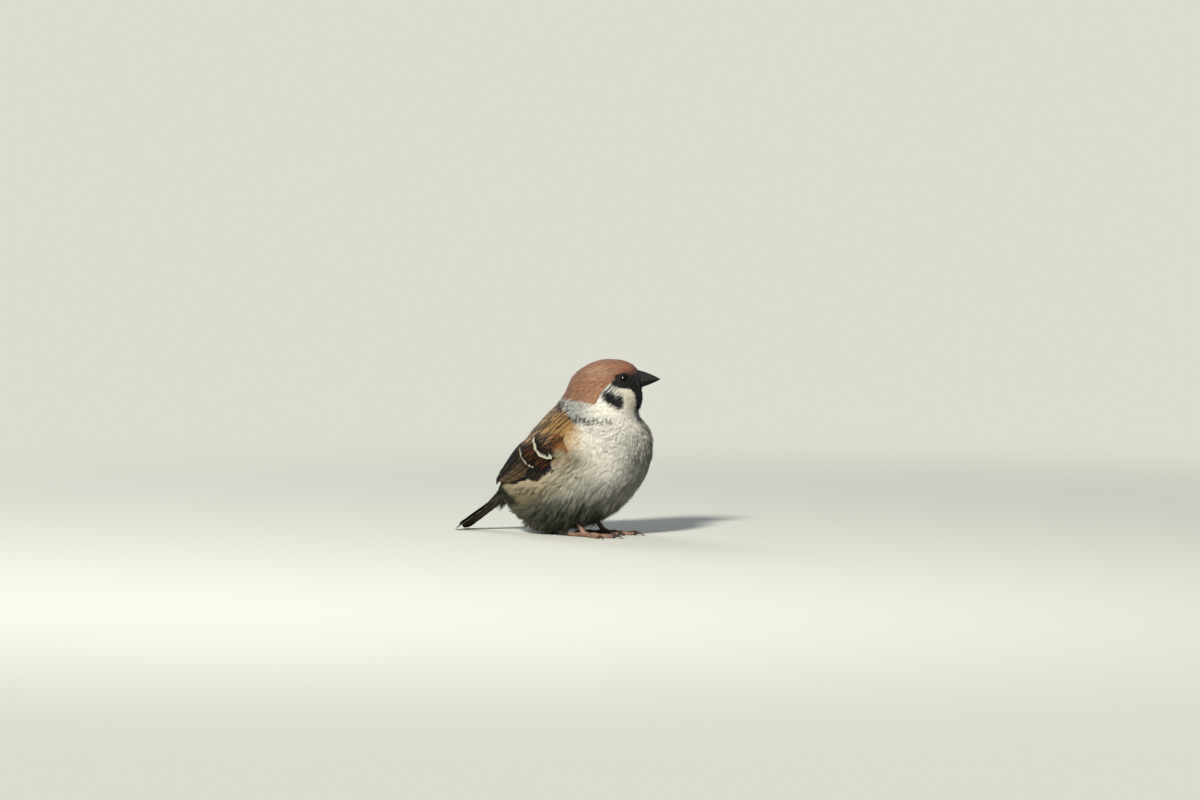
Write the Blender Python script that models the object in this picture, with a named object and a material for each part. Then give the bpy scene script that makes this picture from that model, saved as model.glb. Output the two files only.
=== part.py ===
"""A life-size Eurasian tree sparrow, fluffed up and at rest on a level floor.

Frame: +X is the way the body faces, +Y is its left side, +Z is up. The floor is z = 0, and the
origin is the middle of the model's footprint. The head is turned to the left. The solids run out
to the tips of the plumage. Sizes are in millimetres; loft() turns them into metres.
"""

import math

import bmesh
import bpy
from mathutils import Matrix, Vector

MM = 0.001
GAP = 0.3  # clearance between neighbouring solids
CUT_PAST = 4.0  # how far a cutter runs beyond the face that it opens

# Driving sizes of the bird
HEAD_TURN = math.radians(30.0)  # the head looks to the left of the body
HEAD_PIVOT_X = 2.3  # the neck's upright axis, on the body's middle plane
EGG_SHAPE = 0.08  # how much wider the trunk is below its middle than above

BODY_RINGS_PER_STATION = 2.4
BODY_SIDES = 32

# The plumage's outline, from the bill back to the tail: the back's point and the belly's point
# (x, z) on the middle plane with the head turned straight, the half width between them, and the
# share of the head's turn that the station takes.
BODY_STATIONS = [
    # name, back, belly, half width, turn
    ("bill ring", (23.8, 74.7), (24.9, 65.4), 4.4, 1.0),
    ("lores", (20.9, 77.2), (26.2, 62.2), 6.4, 1.0),
    ("eyes", (15.5, 79.0), (25.4, 58.6), 8.2, 1.0),
    ("ears", (8.0, 79.1), (24.2, 55.2), 11.2, 1.0),
    ("hind crown", (0.5, 76.4), (25.6, 51.8), 13.8, 0.85),
    ("occiput", (-5.3, 71.6), (28.9, 48.4), 15.6, 0.6),
    ("nape", (-8.3, 64.7), (31.3, 44.4), 17.4, 0.3),
    ("neck base", (-12.6, 58.6), (31.8, 39.2), 20.6, 0.1),
    ("shoulder", (-18.6, 53.5), (30.6, 33.0), 23.4, 0.0),
    ("breast", (-24.2, 48.0), (27.4, 25.6), 24.8, 0.0),
    ("keel", (-28.8, 42.4), (22.0, 19.0), 25.2, 0.0),
    ("flank", (-32.8, 36.8), (13.6, 11.9), 24.2, 0.0),
    ("belly", (-36.0, 31.8), (2.6, 6.4), 21.8, 0.0),
    ("thigh", (-38.6, 28.0), (-10.8, 3.8), 17.8, 0.0),
    ("vent", (-40.6, 25.2), (-22.6, 3.2), 13.2, 0.0),
    ("crissum", (-42.2, 22.6), (-32.4, 9.0), 8.6, 0.0),
    ("tail root", (-43.6, 20.0), (-38.8, 14.4), 5.6, 0.0),
]
NECK_STARTS = 5.4  # stations where the head ends and where the neck ends
NECK_ENDS = 7.2
TRUNK_ENDS = 16.0

# Soft swellings on that surface: middle (x, y, z) for the right side, reach, height
SWELLINGS = [
    ("cheek", (14.6, -6.0, 61.0), 6.5, 1.1),
    ("brow", (17.6, -1.5, 74.6), 3.6, 0.5),
    ("flank", (2.0, -21.0, 24.0), 11.0, 1.2),
]

# The folded wing lies on the trunk. Each row: station, the angles from the middle of the back of
# the upper and the lower edge, and how far its inner and outer faces stand off the plumage.
WING_STATIONS = [
    (7.6, 62, 86, -1.2, 0.3),
    (8.1, 48, 98, -1.9, 0.9),
    (9.0, 37, 104, -2.2, 1.3),
    (10.2, 28, 97, -2.2, 1.6),
    (11.4, 22, 81, -1.9, 1.8),
    (12.6, 18, 66, -1.3, 2.2),
    (13.4, 18, 57, -0.9, 2.8),
    (13.85, 20, 52, -0.7, 3.2),
    (14.15, 23, 49, -0.6, 0.9),
    (15.8, 33, 46, -0.4, 0.4),
]
WING_RINGS = 20
WING_SIDES = 16

TAIL_DROP = math.radians(34.0)  # below the level, so that its tip just meets the floor
TAIL_ROOT = (-40.4, 17.55)
TAIL_LENGTH = 31.0
# share of the length, half width, thickness
TAIL_STATIONS = [
    (0.0, 4.6, 3.2),
    (0.15, 5.2, 2.8),
    (0.4, 6.2, 2.2),
    (0.7, 7.2, 1.6),
    (0.9, 7.8, 1.1),
    (1.0, 7.6, 0.9),
]
TAIL_NOTCH = 1.8
TAIL_CAMBER = 0.9
TAIL_RINGS = 11
TAIL_SIDES = 18

BILL_TIP = (34.05, 70.2)
BILL_BASE_X = 20.6  # inside the face
BILL_CULMEN_BASE = 74.6
BILL_GAPE = 69.4
BILL_GONYS_BASE = 65.7
BILL_HALF_WIDTH = 3.9
BILL_CONVEXITY = 1.6  # above 1 the rims bow outwards
LOWER_BILL_SHARE = 0.93  # the lower half is narrower and closes inside the upper one
BILL_RINGS = 10
BILL_SIDES = 12

EYE_RADIUS = 3.4
EYE_RINGS = 10
EYE_SIDES = 16
EYE_MIDDLE = (17.6, 71.3)  # x, z with the head straight
EYE_HALF_SPREAD = 6.1  # from the head's middle plane to the eye's middle

FOOT_SPREAD = 9.0  # from the middle plane to the ball of the foot
FOOT_X = 5.0
BALL_RADIUS = 1.5
SHANK_RADIUS = 1.15
HEEL_RADIUS = 1.5
SHANK_LENGTH = 17.0
ANKLE = 3.6  # from the middle of the ball up to where the shank is parted from the foot
SHANK_LEAN = math.radians(52.0)  # from the floor, leaning back
TOE_SIDES = 8
SOLE_TRIM = 0.35  # how much of each rounded pad is pressed flat
# name, direction in degrees from ahead to the outside, length, radius at its root and end, joints
TOES = [
    ("inner", -24, 10.5, 1.15, 0.85, 2),
    ("middle", 2, 15.0, 1.25, 0.85, 3),
    ("outer", 28, 11.5, 1.1, 0.8, 3),
    ("hind", 186, 8.5, 1.3, 1.0, 1),
]
CLAW_LENGTHS = {"inner": 4.4, "middle": 5.0, "outer": 4.2, "hind": 6.4}
CLAW_SIDES = 6
CLAW_TIP = 0.26  # radius at the point
CLAW_ARCH = 1.3  # height of the claw's bow over its length's ends


def blend_rows(rows, at):
    """The columns of rows at a fractional row number, on a smooth curve through every row."""
    at = min(max(at, 0.0), len(rows) - 1.0)
    low = min(int(at), len(rows) - 2)
    t = at - low
    result = []
    for column in zip(*rows):
        ends = [2 * column[0] - column[1], *column, 2 * column[-1] - column[-2]]
        a, b, c, d = ends[low : low + 4]
        curve = 2 * b + (c - a) * t + (2 * a - 5 * b + 4 * c - d) * t * t + (3 * b - a - 3 * c + d) * t**3
        result.append(curve / 2)
    return result


def row_number(rows, value):
    """The fractional row number at which the first column has this value."""
    for low in range(len(rows) - 1):
        start, end = rows[low][0], rows[low + 1][0]
        if value <= end or low == len(rows) - 2:
            return low + (value - start) / (end - start)
    return 0.0


BODY_ROWS = [(*back, *belly, width, turn) for _, back, belly, width, turn in BODY_STATIONS]


def turn_with_head(point, share=1.0):
    """Moves a point given with the head straight to where the turned head carries it."""
    pivot = Vector((HEAD_PIVOT_X, 0, 0))
    return Matrix.Rotation(share * HEAD_TURN, 3, "Z") @ (Vector(point) - pivot) + pivot


def swollen(point, middle):
    """Lifts a point of the body's surface away from the ring's middle by the swellings near it."""
    lift = 0.0
    for _, (x, y, z), reach, height in SWELLINGS:
        for side in (1, -1):
            away = (point - Vector((x, side * y, z))).length / reach
            lift += height * math.exp(-away * away)
    return point + (point - middle).normalized() * lift


def body_point(station, angle):
    """A point on the plumage: angle 0 is the middle of the back, and it grows round the left side."""
    back_x, back_z, belly_x, belly_z, width, turn = blend_rows(BODY_ROWS, station)
    middle = Vector(((back_x + belly_x) / 2, 0, (back_z + belly_z) / 2))
    up = Vector(((back_x - belly_x) / 2, 0, (back_z - belly_z) / 2))
    egg = EGG_SHAPE * min(max((station - 6) / 3, 0), 1)
    side = Vector((0, width * math.sin(angle) * (1 - egg * math.cos(angle)), 0))
    return turn_with_head(swollen(middle + up * math.cos(angle) + side, middle), turn)


def body_normal(station, angle):
    """The way out of the plumage at that point."""
    step = 0.02
    along = body_point(station + step, angle) - body_point(station - step, angle)
    around = body_point(station, angle + step) - body_point(station, angle - step)
    return around.cross(along).normalized()


def loft(name, rings):
    """One closed solid through rings of points, each with a cap at both ends."""
    mesh = bmesh.new()
    made = [[mesh.verts.new(point * MM) for point in ring] for ring in rings]
    for ring, following in zip(made, made[1:]):
        for i in range(len(ring)):
            j = (i + 1) % len(ring)
            mesh.faces.new((ring[i], ring[j], following[j], following[i]))
    for ring in (made[0], made[-1]):
        hub = mesh.verts.new(sum((v.co for v in ring), Vector()) / len(ring))
        for i in range(len(ring)):
            mesh.faces.new((ring[i], ring[(i + 1) % len(ring)], hub))
    bmesh.ops.recalc_face_normals(mesh, faces=mesh.faces)
    data = bpy.data.meshes.new(name)
    mesh.to_mesh(data)
    mesh.free()
    data.shade_smooth()
    made_object = bpy.data.objects.new(name, data)
    bpy.context.scene.collection.objects.link(made_object)
    return made_object


def painted(solid, name, colour, roughness):
    """Gives a solid its own plain material."""
    material = bpy.data.materials.new(name)
    material.use_nodes = True
    shader = material.node_tree.nodes["Principled BSDF"]
    shader.inputs["Base Color"].default_value = (*colour, 1)
    shader.inputs["Roughness"].default_value = roughness
    shader.inputs["Metallic"].default_value = 0
    solid.data.materials.append(material)
    return solid


def combine(solid, tool, operation):
    """Cuts a tool from a solid, or joins it on, and applies that at once."""
    modifier = solid.modifiers.new(tool.name, "BOOLEAN")
    modifier.operation = operation
    modifier.object = tool
    modifier.solver = "EXACT"
    graph = bpy.context.evaluated_depsgraph_get()
    result = bpy.data.meshes.new_from_object(solid.evaluated_get(graph))
    solid.modifiers.clear()
    solid.data = result
    bpy.data.objects.remove(tool)


# Head, neck and trunk: one surface, parted at two thin cuts


def body_ring(station):
    turns = [2 * math.pi * i / BODY_SIDES for i in range(BODY_SIDES)]
    return [body_point(station, turn) for turn in turns]


def body_length(name, start, end):
    """The body's surface between two stations, less half a gap at each cut."""
    count = max(4, round((end - start) * BODY_RINGS_PER_STATION))
    rings = [body_ring(start + (end - start) * i / count) for i in range(count + 1)]
    for ring, inward in ((rings[0], rings[1]), (rings[-1], rings[-2])):
        for i, point in enumerate(ring):
            step = inward[i] - point
            ring[i] = point + step.normalized() * min(GAP / 2 * 1.6, step.length / 2)
    return loft(name, rings)


def make_head():
    head = body_length("head", 0.0, NECK_STARTS)
    combine(head, bill_socket(), "DIFFERENCE")
    for side in (1, -1):
        combine(head, eyeball("socket", side, EYE_RADIUS + GAP), "DIFFERENCE")
    return painted(head, "head_feathers", (0.33, 0.13, 0.075), 0.85)


def make_neck():
    neck = body_length("neck", NECK_STARTS, NECK_ENDS)
    return painted(neck, "collar_feathers", (0.72, 0.71, 0.66), 0.85)


def make_trunk():
    trunk = body_length("trunk", NECK_ENDS, TRUNK_ENDS)
    for side in (1, -1):
        combine(trunk, folded_wing("bay", side, GAP), "DIFFERENCE")
        combine(trunk, shank("socket", side, GAP), "DIFFERENCE")
    combine(trunk, tail_fan("socket", GAP), "DIFFERENCE")
    return painted(trunk, "body_feathers", (0.55, 0.52, 0.45), 0.9)


# Bill: two horny halves that meet along the gape


def bill_sizes(t):
    """The bill at a share of its length: x, height of the gape, half width, rise of the two rims."""
    tip_x, tip_z = BILL_TIP
    x = BILL_BASE_X + (tip_x - BILL_BASE_X) * t
    seam = BILL_GAPE + (tip_z - BILL_GAPE) * t
    half_width = BILL_HALF_WIDTH * ((1 - t**0.95) * 0.94 + 0.06)
    slimming = (1 - t**BILL_CONVEXITY) * 0.96 + 0.04
    rise = (BILL_CULMEN_BASE - BILL_GAPE) * slimming
    fall = (BILL_GAPE - BILL_GONYS_BASE) * slimming
    return x, seam, half_width, rise, fall


def bill_half(name, half):
    """The upper mandible for half = 1, or the lower one for -1."""
    rings = []
    for i in range(BILL_RINGS):
        x, seam, half_width, rise, fall = bill_sizes(i / (BILL_RINGS - 1))
        reach = rise if half > 0 else fall
        half_width *= 1 if half > 0 else LOWER_BILL_SHARE
        ring = []
        for k in range(BILL_SIDES):
            turn = math.pi * k / (BILL_SIDES - 1)
            z = seam + half * (GAP / 2 + reach * max(math.sin(turn), 0) ** 0.9)
            ring.append(turn_with_head((x, -half_width * math.cos(turn), z)))
        rings.append(ring)
    return loft(name, rings)


def bill_socket():
    """The room that the feathers leave round the root of both halves."""
    rings = []
    for i in range(BILL_RINGS):
        x, seam, half_width, rise, fall = bill_sizes(i / (BILL_RINGS - 1))
        back = GAP if i == 0 else 0
        ring = []
        for k in range(2 * BILL_SIDES):
            turn = math.pi * k / BILL_SIDES
            reach = (rise if math.sin(turn) > 0 else fall) + 1.5 * GAP
            bow = math.copysign(abs(math.sin(turn)) ** 0.9, math.sin(turn))
            ring.append(turn_with_head((x - back, -(half_width + GAP) * math.cos(turn), seam + reach * bow)))
        rings.append(ring)
    return loft("socket", rings)


def make_bill():
    for name, half in (("bill_upper", 1), ("bill_lower", -1)):
        painted(bill_half(name, half), name + "_horn", (0.03, 0.032, 0.035), 0.35)


# Eyes


def eyeball(name, side, radius):
    x, z = EYE_MIDDLE
    rings = []
    for i in range(1, EYE_RINGS):
        lean = math.pi * i / EYE_RINGS
        ring = []
        for k in range(EYE_SIDES):
            turn = 2 * math.pi * k / EYE_SIDES
            across = radius * math.sin(lean)
            y = side * EYE_HALF_SPREAD + radius * math.cos(lean)
            ring.append(turn_with_head((x + across * math.cos(turn), y, z + across * math.sin(turn))))
        rings.append(ring)
    return loft(name, rings)


def make_eyes():
    for name, side in (("eye_left", 1), ("eye_right", -1)):
        painted(eyeball(name, side, EYE_RADIUS), name + "_cornea", (0.012, 0.008, 0.006), 0.08)


# Wings: each is one closed blade, bowed round the side of the trunk


def folded_wing(name, side, margin):
    rows = [row[1:] for row in WING_STATIONS]
    first, last = WING_STATIONS[0][0], WING_STATIONS[-1][0]
    rings = []
    for i in range(WING_RINGS):
        station = first + (last - first) * i / (WING_RINGS - 1)
        upper, lower, inner, outer = blend_rows(rows, row_number(WING_STATIONS, station))
        middle, half = (upper + lower) / 2, (lower - upper) / 2
        half += math.degrees(margin / 20)
        ring = []
        for k in range(WING_SIDES):
            turn = 2 * math.pi * k / WING_SIDES
            angle = side * math.radians(middle + half * math.cos(turn))
            fullness = abs(math.sin(turn)) ** 0.7
            level = (outer + inner) / 2
            swing = (outer - inner) / 2 * fullness + margin
            stand_off = level + (swing if math.sin(turn) > 0 else -swing)
            end_shift = margin / 5 * (1 if i == WING_RINGS - 1 else -1 if i == 0 else 0)
            base = body_point(station + end_shift, angle)
            ring.append(base + body_normal(station, angle) * stand_off)
        rings.append(ring)
    return loft(name, rings)


def make_wings():
    for name, side in (("wing_left", 1), ("wing_right", -1)):
        painted(folded_wing(name, side, 0), name + "_feathers", (0.17, 0.09, 0.045), 0.75)


# Tail: the closed fan of twelve feathers as one thin blade


def tail_fan(name, margin):
    root = Vector((TAIL_ROOT[0], 0, TAIL_ROOT[1]))
    back = Vector((-math.cos(TAIL_DROP), 0, -math.sin(TAIL_DROP)))
    up = Vector((-math.sin(TAIL_DROP), 0, math.cos(TAIL_DROP)))
    rows = [row[1:] for row in TAIL_STATIONS]
    reach = 1.0 if margin == 0 else 0.4
    rings = []
    for i in range(TAIL_RINGS):
        t = reach * i / (TAIL_RINGS - 1)
        half_width, thickness = blend_rows(rows, row_number(TAIL_STATIONS, t))
        ring = []
        for k in range(TAIL_SIDES):
            turn = 2 * math.pi * k / TAIL_SIDES
            across = math.cos(turn)
            y = (half_width + margin) * across
            rise = math.sin(turn) * (thickness / 2 + margin) * (1 - 0.55 * across**4)
            rise -= TAIL_CAMBER * across * across
            notch = TAIL_NOTCH * t**6 * (1 - abs(across)) ** 2
            along = TAIL_LENGTH * t - notch - (margin if i == 0 else 0)
            point = root + back * along + up * rise + Vector((0, y, 0))
            ring.append(Vector((point.x, point.y, max(point.z, 0.0))))
        rings.append(ring)
    return loft(name, rings)


def make_tail():
    painted(tail_fan("tail", 0), "tail_feathers", (0.13, 0.085, 0.055), 0.75)


# Legs: a scaly shank, a foot of four toes joined at the ball, and a claw on each toe


def tube(name, path, radii, sides=TOE_SIDES):
    """A round solid along a path, with its own radius at each point."""
    rings = []
    for i, point in enumerate(path):
        ahead, behind = path[min(i + 1, len(path) - 1)], path[max(i - 1, 0)]
        forward = (ahead - behind).normalized()
        across = forward.cross(Vector((0, 0, 1)))
        if across.length < 0.2:
            across = forward.cross(Vector((1, 0, 0)))
        across.normalize()
        above = across.cross(forward).normalized()
        ring = []
        for k in range(sides):
            turn = 2 * math.pi * (k + 0.5) / sides
            ring.append(point + (across * math.cos(turn) + above * math.sin(turn)) * radii[i])
        rings.append(ring)
    return loft(name, rings)


def ball_of_foot(side):
    return Vector((FOOT_X, side * FOOT_SPREAD, BALL_RADIUS - SOLE_TRIM))


def shank_line(side):
    """The shank's foot and heel."""
    foot = ball_of_foot(side)
    lean = Vector((-math.cos(SHANK_LEAN), -side * 0.1, math.sin(SHANK_LEAN)))
    return foot + lean * ANKLE, foot + lean * SHANK_LENGTH


def shank(name, side, margin):
    foot, heel = shank_line(side)
    count = 9
    path = [foot.lerp(heel, i / (count - 1)) for i in range(count)]
    swell = HEEL_RADIUS - SHANK_RADIUS
    radii = [SHANK_RADIUS + margin + swell * (i / (count - 1)) ** 3 for i in range(count)]
    if margin:
        path[0] -= (heel - foot).normalized() * CUT_PAST
        path[-1] += (heel - foot).normalized() * margin
    return tube(name, path, radii)


def toe_path(side, degrees, length, root, end, joints):
    """Points and radii of one toe, with a pad under each joint."""
    heading = side * math.radians(degrees)
    away = Vector((math.cos(heading), math.sin(heading), 0))
    ball = ball_of_foot(side)
    count = 3 * joints + 3
    path, radii = [], []
    for i in range(count + 1):
        t = i / count
        pad = 0.14 * math.cos(2 * math.pi * joints * t)
        radius = (root + (end - root) * t) * (1 + pad)
        height = ball.z + (radius - SOLE_TRIM - ball.z) * min(1, 2.5 * t)
        path.append(Vector((ball.x, ball.y, 0)) + away * length * t + Vector((0, 0, height)))
        radii.append(radius)
    return path, radii, away


def floor_cutter():
    """A slab under the floor, which presses the soles flat."""
    corners = [(-60, -60), (60, -60), (60, 60), (-60, 60)]
    return loft("floor", [[Vector((x, y, z)) for x, y in corners] for z in (0.0, -8.0)])


def make_claw(name, tip_of_toe, radius, away, length):
    """A hooked claw from the end of a toe down to the floor."""
    count = 6
    path, radii = [], []
    for i in range(count + 1):
        t = i / count
        rise = CLAW_ARCH * math.sin(math.pi * min(t * 1.05, 1)) * (1 - 0.3 * t)
        height = tip_of_toe.z * (1 - t) + CLAW_TIP * 0.6 * t + rise * 0.7
        point = tip_of_toe + away * (radius * 0.4 + GAP + length * t)
        path.append(Vector((point.x, point.y, height)))
        radii.append((radius * 0.8 - CLAW_TIP) * (1 - t) ** 0.8 + CLAW_TIP)
    claw = tube(name, path, radii, CLAW_SIDES)
    combine(claw, floor_cutter(), "DIFFERENCE")
    painted(claw, name + "_horn", (0.09, 0.06, 0.045), 0.4)


def make_leg(side, word):
    foot, heel = shank_line(side)
    leg = shank("leg_" + word, side, 0)
    painted(leg, "shank_scales_" + word, (0.34, 0.2, 0.14), 0.5)
    ball = ball_of_foot(side)
    lean = (heel - foot).normalized()
    ankle_end = foot - lean * GAP
    ankle = [ball - lean * 0.6, ball, ball.lerp(ankle_end, 0.5), ankle_end]
    whole = tube("foot_" + word, ankle, [0.9, BALL_RADIUS, SHANK_RADIUS * 1.15, SHANK_RADIUS])
    for toe, degrees, length, root, end, joints in TOES:
        path, radii, away = toe_path(side, degrees, length, root, end, joints)
        combine(whole, tube("toe", path, radii), "UNION")
        tip = path[-1]
        name = "claw_" + word + "_" + toe
        make_claw(name, tip, radii[-1], away, CLAW_LENGTHS[toe])
    combine(whole, floor_cutter(), "DIFFERENCE")
    painted(whole, "toe_scales_" + word, (0.36, 0.22, 0.15), 0.5)


def centre_on_footprint():
    """Shifts every solid so that the origin is the middle of the footprint, at floor level."""
    solids = [o for o in bpy.context.scene.objects if o.type == "MESH"]
    points = [v.co for o in solids for v in o.data.vertices]
    low = Vector(min(p[axis] for p in points) for axis in range(3))
    high = Vector(max(p[axis] for p in points) for axis in range(3))
    shift = Vector(((low.x + high.x) / 2, (low.y + high.y) / 2, low.z))
    for solid in solids:
        solid.data.transform(Matrix.Translation(-shift))
        solid.data.shade_smooth()


def main():
    for old in list(bpy.data.objects):
        bpy.data.objects.remove(old)
    make_head()
    make_neck()
    make_trunk()
    make_bill()
    make_eyes()
    make_wings()
    make_tail()
    for side, word in ((1, "left"), (-1, "right")):
        make_leg(side, word)
    centre_on_footprint()


main()
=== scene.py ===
"""Looks of a Eurasian tree sparrow at rest: skin, plumage, eyes, bill, legs and feet."""

import math

import bpy
import numpy as np
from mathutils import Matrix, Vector


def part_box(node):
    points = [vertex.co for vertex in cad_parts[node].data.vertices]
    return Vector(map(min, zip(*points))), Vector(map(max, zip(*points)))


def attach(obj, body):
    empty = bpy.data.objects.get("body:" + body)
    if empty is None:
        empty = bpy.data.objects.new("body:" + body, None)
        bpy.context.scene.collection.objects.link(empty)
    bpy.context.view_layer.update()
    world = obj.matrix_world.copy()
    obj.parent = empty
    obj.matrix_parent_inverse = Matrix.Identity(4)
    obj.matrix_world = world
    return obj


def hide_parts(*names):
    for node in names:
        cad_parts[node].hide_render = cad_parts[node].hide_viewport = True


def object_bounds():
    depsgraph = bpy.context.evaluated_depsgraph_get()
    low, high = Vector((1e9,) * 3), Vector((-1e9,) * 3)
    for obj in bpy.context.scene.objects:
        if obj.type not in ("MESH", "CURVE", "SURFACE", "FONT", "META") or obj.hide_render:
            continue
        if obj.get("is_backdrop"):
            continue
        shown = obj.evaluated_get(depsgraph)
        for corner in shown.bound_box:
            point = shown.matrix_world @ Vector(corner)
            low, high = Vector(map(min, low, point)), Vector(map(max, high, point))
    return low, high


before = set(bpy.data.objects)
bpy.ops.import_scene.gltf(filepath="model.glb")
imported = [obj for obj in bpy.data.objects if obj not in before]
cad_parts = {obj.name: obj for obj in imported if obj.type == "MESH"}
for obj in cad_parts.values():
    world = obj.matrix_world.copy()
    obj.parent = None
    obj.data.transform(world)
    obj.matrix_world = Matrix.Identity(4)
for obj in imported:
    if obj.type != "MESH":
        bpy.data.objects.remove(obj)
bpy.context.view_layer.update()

# --- Studio -------------------------------------------------------------------------------------
# A plain pale floor that runs out into a plain pale backdrop, one soft lamp high on the left of the
# camera and a faint one behind. The camera is a long lens to the front of the bird's right side.

EYE_AT = (17.6, 6.1, 71.3)  # middle of an eyeball with the head straight: ahead, aside, up (mm)
HEAD_TURN = math.radians(30.0)
HEAD_PIVOT_X = 2.3
VIEW_TURN = math.radians(30.0)  # the camera stands this far in front of the bird's right side
VIEW_RISE = math.radians(3.0)
VIEW_WIDTH = 540.0  # millimetres from side to side of the view at the bird
VIEW_MIDDLE = (6.75, 60.75)  # the view's middle: millimetres along the view and up from the bird's origin
VIEW_LENS, SENSOR_WIDTH = 135.0, 36.0
BACKDROP = (0.715, 0.722, 0.625)
AIR_LIGHT = (0.80, 0.88, 1.0)
FLOOR_RADIUS, FLOOR_CORNERS = 9.0, 96
FLOOR_LIGHT = (0.20, 0.20, 0.18)  # as it lights the bird
FLOOR_SEEN = (0.59, 0.60, 0.535)  # as it shows
FADE_FROM, FADE_TO = 0.16, 0.80  # metres from the bird where the floor turns into the backdrop

eye_low, eye_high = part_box("eye_right")
turned_x = HEAD_PIVOT_X + (EYE_AT[0] - HEAD_PIVOT_X) * math.cos(HEAD_TURN) + EYE_AT[1] * math.sin(HEAD_TURN)
SHIFT_X = (eye_low.x + eye_high.x) * 500 - turned_x  # from the body's own origin to the model's

world = bpy.data.worlds.new("studio_air")
world.use_nodes = True
bpy.context.scene.world = world
tree = world.node_tree
tree.nodes.clear()
air_seen = tree.nodes.new("ShaderNodeBackground")
air_seen.inputs["Color"].default_value = (*BACKDROP, 1)
air_lit = tree.nodes.new("ShaderNodeBackground")
air_lit.inputs["Color"].default_value = (*AIR_LIGHT, 1)
air_lit.inputs["Strength"].default_value = 0.24
rays = tree.nodes.new("ShaderNodeLightPath")
either = tree.nodes.new("ShaderNodeMixShader")
out = tree.nodes.new("ShaderNodeOutputWorld")
tree.links.new(rays.outputs["Is Camera Ray"], either.inputs["Fac"])
tree.links.new(air_lit.outputs["Background"], either.inputs[1])
tree.links.new(air_seen.outputs["Background"], either.inputs[2])
tree.links.new(either.outputs["Shader"], out.inputs["Surface"])

floor_mesh = bpy.data.meshes.new("floor")
corners = [math.tau * i / FLOOR_CORNERS for i in range(FLOOR_CORNERS)]
rim = [(FLOOR_RADIUS * math.cos(turn), FLOOR_RADIUS * math.sin(turn), 0) for turn in corners]
floor_mesh.from_pydata(rim, [], [list(range(FLOOR_CORNERS))])
floor = bpy.data.objects.new("floor", floor_mesh)
bpy.context.scene.collection.objects.link(floor)
floor_paint = bpy.data.materials.new("floor_card")
floor_paint.use_nodes = True
nodes, links = floor_paint.node_tree.nodes, floor_paint.node_tree.links
card = nodes["Principled BSDF"]
card.inputs["Roughness"].default_value = 0.95
card.inputs["Specular IOR Level"].default_value = 0.0
rays = nodes.new("ShaderNodeLightPath")
card_colour = nodes.new("ShaderNodeMix")
card_colour.data_type = "RGBA"
card_colour.inputs[6].default_value = (*FLOOR_LIGHT, 1)
card_colour.inputs[7].default_value = (*FLOOR_SEEN, 1)
glow = nodes.new("ShaderNodeEmission")
glow.inputs["Color"].default_value = (*BACKDROP, 1)
glow_strength = nodes.new("ShaderNodeMapRange")
glow_strength.inputs["To Min"].default_value = 0.22
place = nodes.new("ShaderNodeTexCoord")
away = nodes.new("ShaderNodeVectorMath")
away.operation = "LENGTH"
fade = nodes.new("ShaderNodeMapRange")
fade.interpolation_type = "SMOOTHERSTEP"
fade.inputs["From Min"].default_value = FADE_FROM
fade.inputs["From Max"].default_value = FADE_TO
blend = nodes.new("ShaderNodeMixShader")
links.new(rays.outputs["Is Camera Ray"], card_colour.inputs["Factor"])
links.new(card_colour.outputs[2], card.inputs["Base Color"])
links.new(rays.outputs["Is Camera Ray"], glow_strength.inputs["Value"])
links.new(glow_strength.outputs["Result"], glow.inputs["Strength"])
links.new(place.outputs["Object"], away.inputs[0])
links.new(away.outputs["Value"], fade.inputs["Value"])
links.new(fade.outputs["Result"], blend.inputs["Fac"])
links.new(card.outputs["BSDF"], blend.inputs[1])
links.new(glow.outputs["Emission"], blend.inputs[2])
links.new(blend.outputs["Shader"], nodes["Material Output"].inputs["Surface"])
floor_mesh.materials.append(floor_paint)
floor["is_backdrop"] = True

view_right = Vector((math.cos(VIEW_TURN), math.sin(VIEW_TURN), 0))
view_flat = math.cos(VIEW_RISE)
view_back = Vector((math.sin(VIEW_TURN) * view_flat, -math.cos(VIEW_TURN) * view_flat, math.sin(VIEW_RISE)))
view_up = view_back.cross(view_right)


BIRD_MIDDLE = 0.045  # the height that the lamps are aimed at


def soft_lamp(name, left, up, distance, size, power, colour):
    """A round soft lamp, aimed at the bird from degrees to the left of the camera and degrees up."""
    left, up = math.radians(left), math.radians(up)
    level = Vector((view_back.x, view_back.y, 0)).normalized()
    flat = level * math.cos(left) - view_right * math.sin(left)
    away = flat * math.cos(up) + Vector((0, 0, math.sin(up)))
    data = bpy.data.lights.new(name, "AREA")
    data.shape, data.size, data.energy, data.color = "DISK", size, power, colour
    lamp = bpy.data.objects.new(name, data)
    bpy.context.scene.collection.objects.link(lamp)
    lamp.location = Vector((0, 0, BIRD_MIDDLE)) + away * distance
    lamp.rotation_euler = away.to_track_quat("Z", "Y").to_euler()


soft_lamp("key_lamp", 22, 35, 1.9, 0.30, 56, (1.0, 0.965, 0.90))
soft_lamp("back_lamp", 150, 35, 1.6, 0.8, 9, (0.93, 0.97, 1.0))

middle = Vector((SHIFT_X, 0, 0)) + view_right * VIEW_MIDDLE[0] + view_up * VIEW_MIDDLE[1]
lens_data = bpy.data.cameras.new("long_lens")
lens_data.lens = VIEW_LENS
lens_data.sensor_width = SENSOR_WIDTH
camera = bpy.data.objects.new("long_lens", lens_data)
bpy.context.scene.collection.objects.link(camera)
camera.location = (middle + view_back * VIEW_WIDTH * VIEW_LENS / SENSOR_WIDTH) / 1000
camera.rotation_euler = view_back.to_track_quat("Z", "Y").to_euler()
lens_data.clip_start, lens_data.clip_end = 0.05, 50
bpy.context.scene.camera = camera
bpy.context.scene.view_settings.view_transform = "Standard"

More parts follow.
